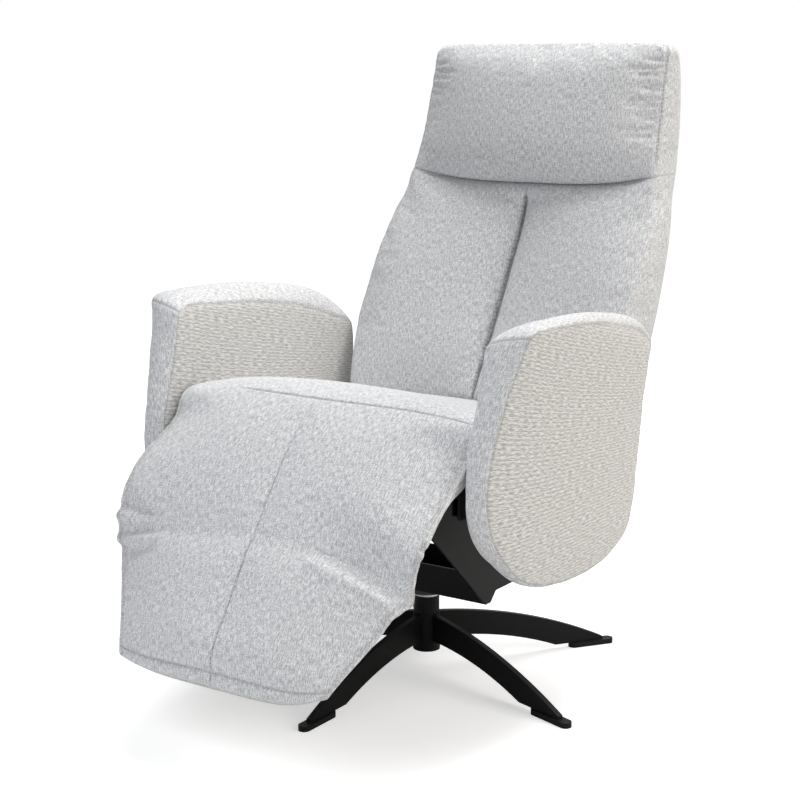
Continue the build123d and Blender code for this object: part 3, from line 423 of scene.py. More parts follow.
# Height, half width, front at the edge, front at the middle, rear
BACK_FORM = (
    (0.448, 0.268, 0.126, 0.138, 0.286), (0.472, 0.271, 0.134, 0.149, 0.294), (0.570, 0.281, 0.172, 0.204, 0.325),
    (0.670, 0.2845, 0.220, 0.260, 0.359), (0.770, 0.2785, 0.284, 0.314, 0.397), (0.835, 0.2645, 0.325, 0.328, 0.429),
    (0.885, 0.2555, 0.347, 0.308, 0.449), (0.930, 0.2525, 0.362, 0.322, 0.461), (0.985, 0.250, 0.3765, 0.342, 0.467),
    (1.045, 0.2485, 0.3925, 0.368, 0.464), (1.090, 0.246, 0.404, 0.393, 0.453),
)


def dip(points, front, half, share):
    """Lower an outline's front towards its middle, where the crease sags."""
    lean = 1 - np.clip((points[..., 1] - front) / 0.09, 0, 1)
    points[..., 2] -= CREASE_DIP * share * lean * np.clip(1 - (points[..., 0] / half) ** 4, 0, 1)


def back_rows():
    """Rows up the back and over the crease to the head: height, inset of the front, inset of sides and rear."""
    low, sole, lip, roll, brow, deep = CREASE_AT_EDGE, 0.020, 0.020, 0.044, 0.020, 0.030
    rows = []
    for turn in np.linspace(90, 0, 5):
        inset = sole * (1 - cos(radians(turn)))
        rows.append((0.450 + sole * (1 - sin(radians(turn))), inset, inset))
    rows += [(z, 0.0, 0.0) for z in np.linspace(0.481, low - lip - 0.010, 33)]
    for turn in np.linspace(0, 80, 6):
        rows.append((low - lip + lip * sin(radians(turn)), deep * (1 - cos(radians(turn))), 0.0))
    rows.append((low + 0.0004, deep, 0.0015))
    for turn in np.linspace(80, 0, 12):
        rows.append((low + 0.001 + roll * (1 - sin(radians(turn))), deep * (1 - cos(radians(turn))), 0.0))
    rows += [(z, 0.0, 0.0) for z in np.linspace(low + roll + 0.005, HEAD_TOP - brow - 0.005, 38)]
    for turn in np.linspace(0, 90, 7):
        inset = brow * (1 - cos(radians(turn)))
        rows.append((HEAD_TOP - brow + brow * sin(radians(turn)), inset, 1.5 * inset))
    return rows


def back_outlines():
    outlines = []
    for z, front_inset, inset in back_rows():
        half, edge, middle, rear = through(BACK_FORM, z)
        swell = 0.009 * ease(0.47, 0.56, z) * (1 - 0.5 * ease(0.80, 0.85, z)) * ease(0.88, 0.85, z)
        rear -= min(inset, 0.012)
        turn = 0.022 + 0.012 * ease(0.56, 0.66, z) - 0.016 * ease(0.80, 0.86, z)
        round_rear = 0.046 - 0.020 * ease(0.80, 0.88, z)
        # Both roundings fit between front and rear
        tight = min(1.0, (rear - edge - front_inset) / (turn + round_rear + 0.004))
        turn, round_rear = turn * tight, round_rear * tight

        def front_at(x):
            v = np.clip(np.abs(x) / (half - turn), 0, 1)
            hollow = (middle - edge) * (1 - v ** 2.2) - swell * np.sin(pi * v ** 0.8) ** 0.75
            return edge + hollow + front_inset * (1 - CREASE_FADE * ease(0.96, 0.91, z) * v ** 7)

        outline = level_outline(half - inset, front_at, rear, turn, round_rear,
                                lambda w: half_columns(w, 21, near=(0.0, 0.0014, 0.0045, 0.014)), z,
                                side_bulge=0.002)
        share = ease(0.72, 0.836, z) * ease(0.95, CREASE_AT_EDGE, z)
        for part in outline:
            dip(part, edge, half, share)
        outlines.append(outline)
    return outlines


def boxed_cover(name, outlines, finishes, seams, holds):
    """Wall and lids of a boxed cushion; seams and holds give their strength at each row and column, the seam strength
    also setting painted shade along seams and creases.
    """
    form = Boxed(outlines)
    wall = form.wall()
    weave = form.weave(wall)
    bottom, top = form.lid(outlines[0]), form.lid(outlines[-1])
    return sew(name, [
        Panel(wall, weave, seam=seams(form, wall), hold=holds(form, wall)),
        Panel(bottom, bottom[..., :2], hold=1.0),
        Panel(top, top[..., :2], hold=1.0),
    ], finishes)


def plain_block(name, slices, rounding, rear_bulge, finish_name, body):
    """A padded block without seams, from level slices: height, half width, front and rear."""
    def unsewn(form, wall):
        return np.zeros(wall.shape[:2])

    outlines = [level_outline(half, lambda x: np.full(np.shape(x), front), rear, rounding, rounding,
                              lambda w: half_columns(w, 14), z, side_bulge=0.0, rear_bulge=rear_bulge)
                for z, half, front, rear in slices]
    block = boxed_cover(name, outlines, [cloth(finish_name)], unsewn, unsewn)
    refine(block)
    dressed(block, body)


def edge_columns(form):
    """Columns of the two front edges, where front and side are sewn."""
    first = form.front_column() - form.middle
    return first, first + form.across - 1


def head_gathers():
    """Short folds where the head panel is gathered into its side seams."""
    folds = []
    for sign, heights in ((1, (1.052, 1.041, 1.028, 1.012, 1.000, 0.986, 0.974, 0.962, 0.949, 0.934, 0.920)),
                          (-1, (1.046, 1.034, 1.021, 1.006, 0.990))):
        for k, z in enumerate(heights):
            half, edge = through(BACK_FORM, z)[:2]
            reach = 0.030 + 0.010 * ((k * 3) % 4)
            start = half - 0.010
            slope = (0.004, -0.002, 0.002, -0.004)[k % 4]
            line = [(sign * x, edge - 0.010 * (1 - (x / half) ** 2), z + slope * (start - x) / reach)
                    for x in np.linspace(start, start - reach, 4)]
            folds.append((line, 0.0042, 0.0046))
    return folds


class RECLINER_OT_cover_back(bpy.types.Operator):
    """Cover back and head section in one length: two padded panels, a deep crease and the head panel"""

    bl_idname = "recliner.cover_back"
    bl_label = "Cover Back and Head"
    bl_options = {"REGISTER", "UNDO"}

    def execute(self, context):
        def seams(form, wall):
            strength = np.zeros(wall.shape[:2])
            middle = form.front_column()
            height = wall[:, middle, 2]
            sewn = ease(0.818, 0.806, height)
            # Centre seam, sunk in and darkened: stitches plus painted shade in its groove, spread onto the columns
            # beside it
            strength[:, middle] = 0.3 * ease(0.834, 0.828, height) + 0.8 * sewn
            strength[:, [middle - 1, middle + 1]] = 0.5 * sewn[:, None]
            left, right = edge_columns(form)
            for column in (left, right):
                height = wall[:, column, 2]
                strength[:, column] = 0.6 * ease(0.86, 0.89, height) * ease(1.081, 1.070, height)
            # Crease row between back and head, painted dark: painted shade along the fold, fading towards the outer
            # edges
            folded = np.abs(wall[:, left, 2] - CREASE_AT_EDGE) < 0.0012
            reach = np.abs(wall[:, left:right + 1, 0]) / np.abs(wall[:, left:left + 1, 0])
            strength[folded, left:right + 1] = (1.1 * ease(1.0, 0.86, reach))[folded]
            return strength

        def holds(form, wall):
            held = np.zeros(wall.shape[:2])
            middle = form.front_column()
            left, right = edge_columns(form)
            height = wall[:, left, 2]
            held[height < 0.84, middle - 1:middle + 2] = 1
            held[:, [left, right]] = 1
            held[:, :form.middle + 4] = 1
            held[:, -form.middle - 4:] = 1
            held[[0, 1, 2, -2, -1]] = 1
            return np.maximum(held, np.exp(-((height - 0.858) / 0.022) ** 2)[:, None])

        back = boxed_cover("back_head_cover", back_outlines(), [cloth("upholstery_weave")], seams, holds)
        plump(back, pressure=3.0, spare=0.01, limit=0.022)
        refine(back)
        valley = [(0.0, through(BACK_FORM, z)[2] - 0.004, z) for z in np.linspace(0.48, 0.80, 14)]
        tuck(back, [(valley, 0.007, 0.014)] + head_gathers(), (0, -1, 0))
        sink_seams(back)
        dressed(back, replaces=("back_cushion", "back_rear_pad", "head_cushion"))
        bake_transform(back)
        self.lower_end()
        return {"FINISHED"}

    def lower_end(self):
        """Padding round the foot of the back board, between the hinge arms."""
        levels = ((0.398, 0.008), (0.3995, 0.004), (0.402, 0.001), (0.406, 0.0), (0.416, 0.0), (0.428, 0.0),
                  (0.442, 0.0), (0.452, 0.0), (0.457, 0.004))
        slices = [(z, 0.2277 - 0.3 * inset, 0.1465 + 0.008 * ease(0.438, 0.404, z) + inset,
                   0.252 + 0.4 * (z - 0.404) - inset) for z, inset in levels]
        plain_block("back_lower_end", slices, 0.004, 0.002, "upholstery_weave", "back")


# Seat and footrest

# Top line of seat and calf panel: place (y, z), lean of the slice, fall to the edge and its power, half width,
# thickness
SEAT_FORM = (
    (0.132, 0.452, 0.0, 0.018, 2.2, 0.281, 0.040), (0.020, 0.473, 0.0, 0.020, 2.3, 0.2845, 0.042),
    (-0.0875, 0.499, 0.0, 0.024, 2.4, 0.2855, 0.046), (-0.170, 0.5205, 0.0, 0.027, 2.5, 0.2855, 0.052),
    (-0.230, 0.5365, 0.0, 0.027, 2.6, 0.2855, 0.060), (-0.288, 0.545, 10.0, 0.026, 2.9, 0.2855, 0.064),
    (-0.318, 0.536, 26.0, 0.028, 3.2, 0.286, 0.063), (-0.350, 0.508, 42.0, 0.040, 3.4, 0.2865, 0.066),
    (-0.3898, 0.4676, 53.1, 0.040, 3.6, 0.2875, 0.068), (-0.4346, 0.4112, 53.1, 0.026, 3.2, 0.2885, 0.062),
    (-0.4636, 0.3698, 53.1, 0.020, 2.8, 0.2885, 0.060), (-0.4850, 0.3408, 53.1, 0.026, 2.4, 0.287, 0.058),
)
SEAT_RUN = run_length([row[:2] for row in SEAT_FORM])
SEAT_SEAM_AT = SEAT_RUN[6]
CREASE_AT = SEAT_RUN[-1]
CREASE_DOWN = 0.236  # how far down the panel the seat's table ends
HIDDEN_WIDTH = 0.955  # width of the hidden rows where calf panel and flap overlap
# Fold between calf and flap: place across, how far down the panel, how deep
CREASE_LINE = (
    (-0.300, 0.252, 0.011), (-0.240, 0.246, 0.009), (-0.170, 0.238, 0.004), (-0.090, 0.231, 0.001),
    (0.000, 0.228, 0.0005), (0.070, 0.226, 0.001), (0.120, 0.228, 0.008), (0.170, 0.238, 0.016),
    (0.230, 0.252, 0.018), (0.300, 0.268, 0.016),
)
# Flap: place down the panel, height at the middle, height at the edge, half width
FLAP_FORM = (
    (0.220, 0.0515, 0.026, 0.287), (0.250, 0.051, 0.020, 0.281), (0.280, 0.049, 0.013, 0.268),
    (0.313, 0.046, 0.008, 0.254), (0.351, 0.043, 0.007, 0.236), (0.400, 0.039, 0.007, 0.212),
    (0.430, 0.029, 0.006, 0.199), (0.4515, 0.012, 0.001, 0.189),
)
FLAP_HEM = 0.926  # share of the flap's length at its hem
FOOT_SHARES = mirrored(np.concatenate((half_columns(0.94, 32, near=(0.0, 0.007, 0.024, 0.055)), (0.97, 0.99, 1.0))))


def seat_row(name, run):
    """One column of the seat's table at distances along it."""
    column = ("y", "z", "lean", "fall", "power", "half", "thick").index(name)
    table = np.column_stack((SEAT_RUN, [row[column] for row in SEAT_FORM]))
    return through(table, np.minimum(run, CREASE_AT))[..., 0]


def seat_top(run, share):
    """Top of the seat or calf panel at a distance along it, with the way down into the cushion."""
    lean = np.radians(seat_row("lean", run))
    down = np.stack((np.zeros_like(lean), np.sin(lean), -np.cos(lean)), axis=-1)
    # The calf panel hangs lower and narrower on its right
    calf = ease(SEAT_RUN[7], SEAT_RUN[9], run) * ease(CREASE_AT + 0.02, SEAT_RUN[10], run)
    low = np.where(share < 0, 1 - 0.5 * calf, 1 + 0.12 * calf)
    half = seat_row("half", run) + np.where(share < 0, 0.004, -0.003) * ease(SEAT_RUN[7], SEAT_RUN[9], run)
    fall = seat_row("fall", run) * low * np.abs(share) ** seat_row("power", run)
    top = np.stack((share * half, seat_row("y", run), seat_row("z", run)), axis=-1)
    top = top + down * fall[..., None] + np.clip(run - CREASE_AT, 0, None)[..., None] * FOOT_DOWN
    return top, down


def crease_line(share):
    """The fold between calf panel and flap: how far down the panel, and its points."""
    place, depth = np.moveaxis(through(CREASE_LINE, share * CALF_HALF), -1, 0)
    top, down = seat_top(CREASE_AT + place - CREASE_DOWN, share)
    return place, depth, top + down * depth[..., None]


def slab(name, top, under, weave, seam, hold, finishes, bulge=0.003):
    """A flat cushion: top and under side, boxed sides and closed ends."""
    strip = np.zeros((top.shape[0] - 1, top.shape[1] - 1), int)
    strip[:, [0, 1, -2, -1]] = 1
    panels = [Panel(top, weave, seam=seam, hold=hold, finish=strip), Panel(under, weave, hold=1.0, finish=1)]
    sides = []
    for column, sign in ((0, -1), (-1, 1)):
        a, b = top[:, column], under[:, column]
        places = np.array((0.0, 0.1, 0.3, 0.5, 0.7, 0.9, 1.0))
        side = a[:, None] + (b - a)[:, None] * places[None, :, None]
        side[..., 0] += sign * bulge * np.sin(pi * places)[None]
        panels.append(Panel(side, woven_at(run_across(side), weave[:, 0, 1]), hold=1.0, finish=1))
        sides.append(side)
    for row in (0, -1):
        lid = spanned(top[row], sides[1][row], under[row], sides[0][row])
        panels.append(Panel(lid, lid[..., (0, 2)], hold=1.0, finish=1))
    return sew(name, panels, finishes)


def folds_on(foot_lines):
    """Folds given on the footrest by place across and down the panel, with depth and width."""
    folds = []
    for line, depth, width in foot_lines:
        places = []
        for x, s in line:
            middle, edge, half = through(FLAP_FORM, max(s, 0.220))
            places.append(foot_point(s, middle + (edge - middle) * min(abs(x) / half, 1) ** 2.4, x))
        folds.append((places, depth, width))
    return folds


# Broad hollow over the fold on the right, and small folds at both its ends
CALF_FOLDS = (
    (((0.140, 0.190), (0.190, 0.208), (0.245, 0.228), (0.285, 0.240)), 0.013, 0.030),
    (((0.262, 0.205), (0.290, 0.214)), 0.0035, 0.006), (((0.255, 0.226), (0.288, 0.238)), 0.0035, 0.005),
    (((0.268, 0.186), (0.292, 0.190)), 0.0030, 0.005), (((0.262, 0.248), (0.286, 0.256)), 0.0030, 0.005),
    (((-0.300, 0.214), (-0.262, 0.212), (-0.205, 0.220)), 0.0085, 0.009),
    (((-0.300, 0.228), (-0.250, 0.226), (-0.190, 0.232)), -0.0060, 0.008),
    (((-0.296, 0.196), (-0.255, 0.194)), 0.0025, 0.007),
)
FLAP_FOLDS = (
    (((0.110, 0.245), (0.170, 0.258), (0.230, 0.274), (0.262, 0.286)), -0.0085, 0.012),
    (((0.190, 0.272), (0.225, 0.281), (0.262, 0.290)), 0.0040, 0.007),
    (((0.215, 0.288), (0.262, 0.296)), 0.0030, 0.006), (((0.232, 0.303), (0.258, 0.308)), 0.0025, 0.005),
    (((0.222, 0.322), (0.250, 0.325)), 0.0020, 0.005),
    (((-0.290, 0.262), (-0.240, 0.262), (-0.180, 0.254)), -0.0065, 0.008),
    (((-0.284, 0.276), (-0.240, 0.278), (-0.190, 0.268)), 0.0075, 0.008),
    (((-0.276, 0.292), (-0.235, 0.296)), 0.0030, 0.006),
    (((-0.184, 0.427), (-0.100, 0.431), (0.000, 0.4325), (0.100, 0.430), (0.170, 0.423)), 0.0040, 0.008),
)


class RECLINER_OT_cover_seat(bpy.types.Operator):
    """Cover the seat and the upper footrest panel in one length that bends over the knee"""

    bl_idname = "recliner.cover_seat"
    bl_label = "Cover Seat and Calf Panel"
    bl_options = {"REGISTER", "UNDO"}

    def execute(self, context):
        seam, share = SEAT_SEAM_AT, FOOT_SHARES
        runs = np.concatenate((
            np.linspace(0, seam - 0.020, 38), seam + np.array((-0.010, -0.0028, 0.0, 0.0028, 0.010)),
            np.linspace(seam + 0.020, CREASE_AT - 0.020, 30), CREASE_AT - np.array((0.013, 0.007, 0.003, 0.0))))
        # The front seam bows towards the knee in its middle, and the lower end follows the fold
        bow = 0.024 * np.exp(-((runs - seam) / 0.075) ** 2)
        place, depth, _ = crease_line(share)
        run = runs[:, None] - bow[:, None] * np.abs(share)[None] ** 2.2
        run = run + (place - CREASE_DOWN)[None] * ease(CREASE_AT - 0.15, CREASE_AT, runs)[:, None]
        top, down = seat_top(run, share[None] + 0 * run)
        near = np.exp(-((CREASE_AT - runs) / 0.018) ** 2)
        top = top + down * (depth[None] * near[:, None])[..., None]
        # The end runs on under the flap
        top = np.concatenate((top, [top[-1] * (HIDDEN_WIDTH, 1, 1) + 0.016 * FOOT_DOWN - 0.0015 * FOOT_OUT]))
        run, down, runs = (np.concatenate((q, q[-1:])) for q in (run, down, runs))
        middle = len(share) // 2
        under = top[:, middle][:, None] + down * seat_row("thick", run)[..., None]
        rise = 0.016 * ease(seam + 0.085, seam + 0.16, runs)
        under -= down * (rise[:, None] * np.abs(share)[None] ** 6)[..., None]
        under[..., 0] = top[..., 0] * (0.985 - 0.045 * ease(seam + 0.07, seam + 0.15, runs))[:, None]
        weave = woven_at(top[..., 0], run_length(top[:, middle]))
        at = int(np.argmin(np.abs(runs - seam)))
        strength = np.zeros(run.shape)
        strength[at] = 0.75 * ease(-0.62, -0.42, share)
        strength[:, middle] = np.maximum(strength[:, middle], 0.55 * ease(seam + 0.02, seam + 0.10, runs))
        strength[:, [2, -3]] = 0.3 * ease(seam, seam + 0.05, runs)[:, None]
        held = np.zeros(run.shape)
        held[[0, 1, -4, -3, -2, -1]] = 1
        held[at - 1:at + 2] = 0.9
        held[:, middle] = 0.9 * ease(seam, seam + 0.03, runs)
        held[:, [0, -1]] = 1
        seat = slab("seat_calf_cover", top, under, weave, strength, held,
                    [cloth("upholstery_weave"), cloth("upholstery_boxing")])
        plump(seat, pressure=2.5, spare=0.008, limit=0.014)
        refine(seat)
        tuck(seat, folds_on(CALF_FOLDS), FOOT_OUT)
        sink_seams(seat)
        dressed(seat, replaces=("seat_cushion", "calf_cushion"))
        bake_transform(seat)
        self.core()
        return {"FINISHED"}

    def core(self):
        """Foam block of the seat between its rails and the cover."""
        low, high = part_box("seat_cushion")[0][2], 0.440
        rounding = [(0.0, 0.012), (0.003, 0.005), (0.007, 0.002), (0.012, 0.0)]
        levels = [(low + rise, inset) for rise, inset in rounding]
        levels.append(((low + high) / 2, 0.0))
        levels += [(high - rise, inset) for rise, inset in rounding[::-1]]
        slices = [(z, 0.283 - inset, -0.268 + inset, 0.124 - inset) for z, inset in levels]
        plain_block("seat_core", slices, 0.02, 0.0, "upholstery_boxing", "chassis")


class RECLINER_OT_cover_flap(bpy.types.Operator):
    """Cover the lower footrest panel, tapered, with a rolled end"""

    bl_idname = "recliner.cover_flap"
    bl_label = "Cover Footrest Flap"
    bl_options = {"REGISTER", "UNDO"}

    def execute(self, context):
        share = FOOT_SHARES
        place, _, fold = crease_line(share)
        steps = np.concatenate(([0.0, 0.014, 0.034, 0.064], np.linspace(0.10, 0.90, 19),
                                [0.913, FLAP_HEM, 0.939, 0.960, 0.982, 1.0]))
        # The lower corners are rounded, the right one more
        end = FLAP_FORM[-1][0] - np.where(share < 0, 0.013, 0.026) * np.abs(share) ** 5
        s = place[None] + steps[:, None] * (end[None] - place[None])
        middle_t, edge_t, half = np.moveaxis(through(FLAP_FORM, s), -1, 0)
        t = middle_t + (edge_t - middle_t) * np.abs(share)[None] ** 2.4
        half = half + np.where(share < 0, 0.004, -0.002)[None] * ease(0.34, 0.25, s)
        top = foot_point(s, t, share[None] * half)
        top = top + (fold - top[0])[None] * np.exp(-((s - place[None]) / 0.013) ** 2)[..., None]
        # The root starts under the end of the calf panel
        top = np.concatenate(([top[0] * (HIDDEN_WIDTH, 1, 1) - 0.022 * FOOT_DOWN - 0.002 * FOOT_OUT], top))
        s, steps = np.concatenate((s[:1] - 0.022, s)), np.concatenate((steps[:1] - 0.05, steps))
        under = foot_point(s, -0.008 + 0.008 * np.abs(share)[None] ** 6 + 0 * s, top[..., 0] * 0.945)
        middle = len(share) // 2
        weave = woven_at(top[..., 0], run_length(top[:, middle]))
        hem = int(np.argmin(np.abs(steps - FLAP_HEM)))
        strength = np.zeros(s.shape)
        strength[:, middle] = 0.8
        strength[:, [2, -3]] = 0.35
        strength[hem] = 0.5
        held = np.zeros(s.shape)
        held[:4] = 1
        held[hem - 1:] = 1
        held[:, [0, -1]] = 1
        held[:, middle] = 0.9
        flap = slab("flap_cover", top, under, weave, strength, held,
                    [cloth("upholstery_weave"), cloth("upholstery_boxing")], bulge=0.002)
        plump(flap, pressure=2.5, spare=0.008, limit=0.012)
        refine(flap)
        tuck(flap, folds_on(FLAP_FOLDS), FOOT_OUT)
        sink_seams(flap)
        dressed(flap, replaces=("flap_cushion",))
        tuple(foot_point(0.250, 0.03, 0.0))
        tuple(foot_point(0.305, 0.03, 0.0))
        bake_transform(flap)
        return {"FINISHED"}


# Arms

# Seam of the outer side, from the front upper corner along the top, down the rear, forward and up: (y, z)
ARM_OUTER_SEAM = (
    ((-0.2890, 0.6570), (-0.2790, 0.6640), (-0.2426, 0.6655), (-0.1862, 0.6635), (-0.083, 0.655), (0.019, 0.636),
     (0.125, 0.6045)),
    ((0.147, 0.589), (0.148, 0.568), (0.149, 0.513), (0.147, 0.445), (0.138, 0.378), (0.130, 0.328)),
    ((0.108, 0.283), (0.052, 0.252), (-0.031, 0.240), (-0.131, 0.245), (-0.201, 0.259), (-0.245, 0.277)),
    ((-0.287, 0.309), (-0.323, 0.348), (-0.346, 0.394), (-0.351, 0.430), (-0.348, 0.462), (-0.340, 0.496),
     (-0.328, 0.538), (-0.316, 0.580), (-0.3015, 0.616), (-0.2945, 0.640)),
)
ARM_INNER_SEAM = (
    ((-0.297, 0.643), (-0.279, 0.6495), (-0.189, 0.646), (-0.081, 0.636), (0.019, 0.619), (0.138, 0.582)),
    ((0.186, 0.562), (0.191, 0.540), (0.191, 0.500), (0.187, 0.445), (0.174, 0.378), (0.156, 0.328)),
    ((0.120, 0.290), (0.060, 0.260), (-0.031, 0.248), (-0.131, 0.254), (-0.190, 0.265), (-0.227, 0.279)),
    ((-0.274, 0.309), (-0.309, 0.336), (-0.332, 0.366), (-0.344, 0.402), (-0.346, 0.441), (-0.342, 0.484),
     (-0.329, 0.526), (-0.317, 0.565), (-0.306, 0.610)),
)
ARM_OUTER_FACE = ((0.235, 0.333), (0.462, 0.335), (0.496, 0.337), (0.538, 0.342), (0.580, 0.348), (0.616, 0.355),
                  (0.644, 0.362), (0.667, 0.370), (0.700, 0.378))
ARM_INNER_FACE = ((0.235, 0.2925), (0.560, 0.2925), (0.593, 0.2930), (0.630, 0.2945), (0.650, 0.2965), (0.700, 0.304))
# How far the top of the arm is crowned: place front to rear, height
ARM_CROWN = ((-0.310, 0.005), (-0.240, 0.013), (-0.160, 0.018), (-0.080, 0.022), (0.000, 0.026), (0.070, 0.031),
             (0.130, 0.028), (0.190, 0.012))


def seam_sides(sides, counts):
    """Four runs of evenly placed points along a closed seam; each run ends where the next begins."""
    points = np.array([p for side in sides for p in side])
    around = np.concatenate((points[-3:], points, points[:4]))
    run = run_length(around)
    table = np.column_stack((run, around))
    starts = np.cumsum([0] + [len(side) for side in sides]) + 3
    result = []
    for k in range(4):
        a, b = run[starts[k]], run[starts[k + 1]]
        result.append(through(table, a + (b - a) * counts[k % 2]))
    return result


def close_set(count, tight):
    """Places from 0 to 1, the first and last step tight."""
    inner = np.linspace(tight, 1 - tight, count)
    return np.concatenate(([0.0], inner, [1.0]))


class RECLINER_OT_cover_arms(bpy.types.Operator):
    """Cover both arms: ribbed sides, and a padded band round the edge"""

    bl_idname = "recliner.cover_arms"
    bl_label = "Cover Arms"
    bl_options = {"REGISTER", "UNDO"}

    def execute(self, context):
        for name, sign in (("right", 1), ("left", -1)):
            self.arm(name, sign)
        return {"FINISHED"}

    def arm(self, name, sign):
        counts = (close_set(40, 0.008), close_set(32, 0.009))
        outer = seam_sides(ARM_OUTER_SEAM, counts)
        inner = seam_sides(ARM_INNER_SEAM, counts)
        faces, rings = [], []
        for sides, face in ((outer, ARM_OUTER_FACE), (inner, ARM_INNER_FACE)):
            top, rear, bottom, front = sides
            grid = spanned(top, rear, bottom[::-1], front[::-1])
            faces.append(np.concatenate((through(face, grid[..., 1]), grid), axis=-1))
            around = np.concatenate([side[:-1] for side in sides] + [top[:1]])
            rings.append(np.column_stack((through(face, around[:, 1]), around)))
        ring_outer, ring_inner = rings
        middle = (ring_outer + ring_inner) / 2
        ahead = np.roll(middle[:-1], -1, axis=0) - np.roll(middle[:-1], 1, axis=0)
        out = np.stack((np.zeros(len(ahead)), -ahead[:, 2], ahead[:, 1]), axis=1)
        for _ in range(6):
            out = (np.roll(out, 1, axis=0) + 2 * out + np.roll(out, -1, axis=0)) / 4
        out /= np.linalg.norm(out, axis=1, keepdims=True)
        out = np.concatenate((out, out[:1]))
        over_top = ease(0.52, 0.60, middle[:, 2]) * ease(-0.303, -0.285, middle[:, 1])
        swell = 0.007 + over_top * (through(ARM_CROWN, middle[:, 1])[:, 0] - 0.007)
        places = np.array((0.0, 0.045, 0.12, 0.25, 0.42, 0.58, 0.75, 0.88, 0.955, 1.0))
        crown = np.sin(pi * places) ** 0.62
        band = (ring_outer[:, None] * (1 - places[None, :, None]) + ring_inner[:, None] * places[None, :, None]
                + out[:, None] * (swell[:, None] * crown[None])[..., None])
        weave = woven_at(run_across(band), run_length(middle))
        edge = np.zeros(band.shape[:2])
        edge[:, [0, -1]] = 0.55
        edge[[0, -1]] = 0.6
        held = np.zeros(band.shape[:2])
        held[:, [0, -1]] = 1
        panels = [Panel(band, weave, seam=edge, hold=held)]
        for face, still in zip(faces, (0.0, 1.0)):
            rim = np.zeros(face.shape[:2])
            rim[[0, -1]] = 0.55
            rim[:, [0, -1]] = 0.55
            fixed = np.maximum(still, (rim > 0).astype(float))
            ribs = face[..., 1:].copy()
            ribs[..., 1] += 0.22 * ribs[..., 0] * ease(0.28, 0.66, ribs[..., 1])
            panels.append(Panel(face, ribs, seam=rim, hold=fixed, finish=1))
        for panel in panels:
            panel.points = panel.points * np.array((sign, 1, 1))
        arm = sew("arm_cover_" + name, panels, [cloth("upholstery_weave"), cloth("upholstery_ribbed")])
        plump(arm, pressure=2.0, spare=0.004, limit=0.010)
        refine(arm)
        sink_seams(arm)
        dressed(arm, "chassis", ("arm_pad_" + name,))


# Finishes

def node(tree, kind, inputs=(), **settings):
    made = tree.nodes.new(kind)
    for key, value in settings.items():
        setattr(made, key, value)
    for key, value in dict(inputs).items():
        if isinstance(value, bpy.types.NodeSocket):
            tree.links.new(value, made.inputs[key])
        else:
            made.inputs[key].default_value = value
    return made


def maths(tree, operation, *values):
    return node(tree, "ShaderNodeMath", dict(enumerate(values)), operation=operation).outputs[0]


def finish(name):
    """A new material with only its surface shader."""
    material = bpy.data.materials.new(name)
    material.use_nodes = True
    return material, material.node_tree, material.node_tree.nodes["Principled BSDF"]


def threads(tree, place, width, length, detail=2.0):
    """Noise drawn out into streaks of this width and length."""
    scaled = node(tree, "ShaderNodeVectorMath", {0: place, 1: (1 / width, 1 / length, 1.0)}, operation="MULTIPLY")
    return node(tree, "ShaderNodeTexNoise", {"Vector": scaled.outputs[0], "Scale": 1.0, "Detail": detail},
                noise_dimensions="2D").outputs["Fac"]


STITCHES = 125.0  # in one metre of seam


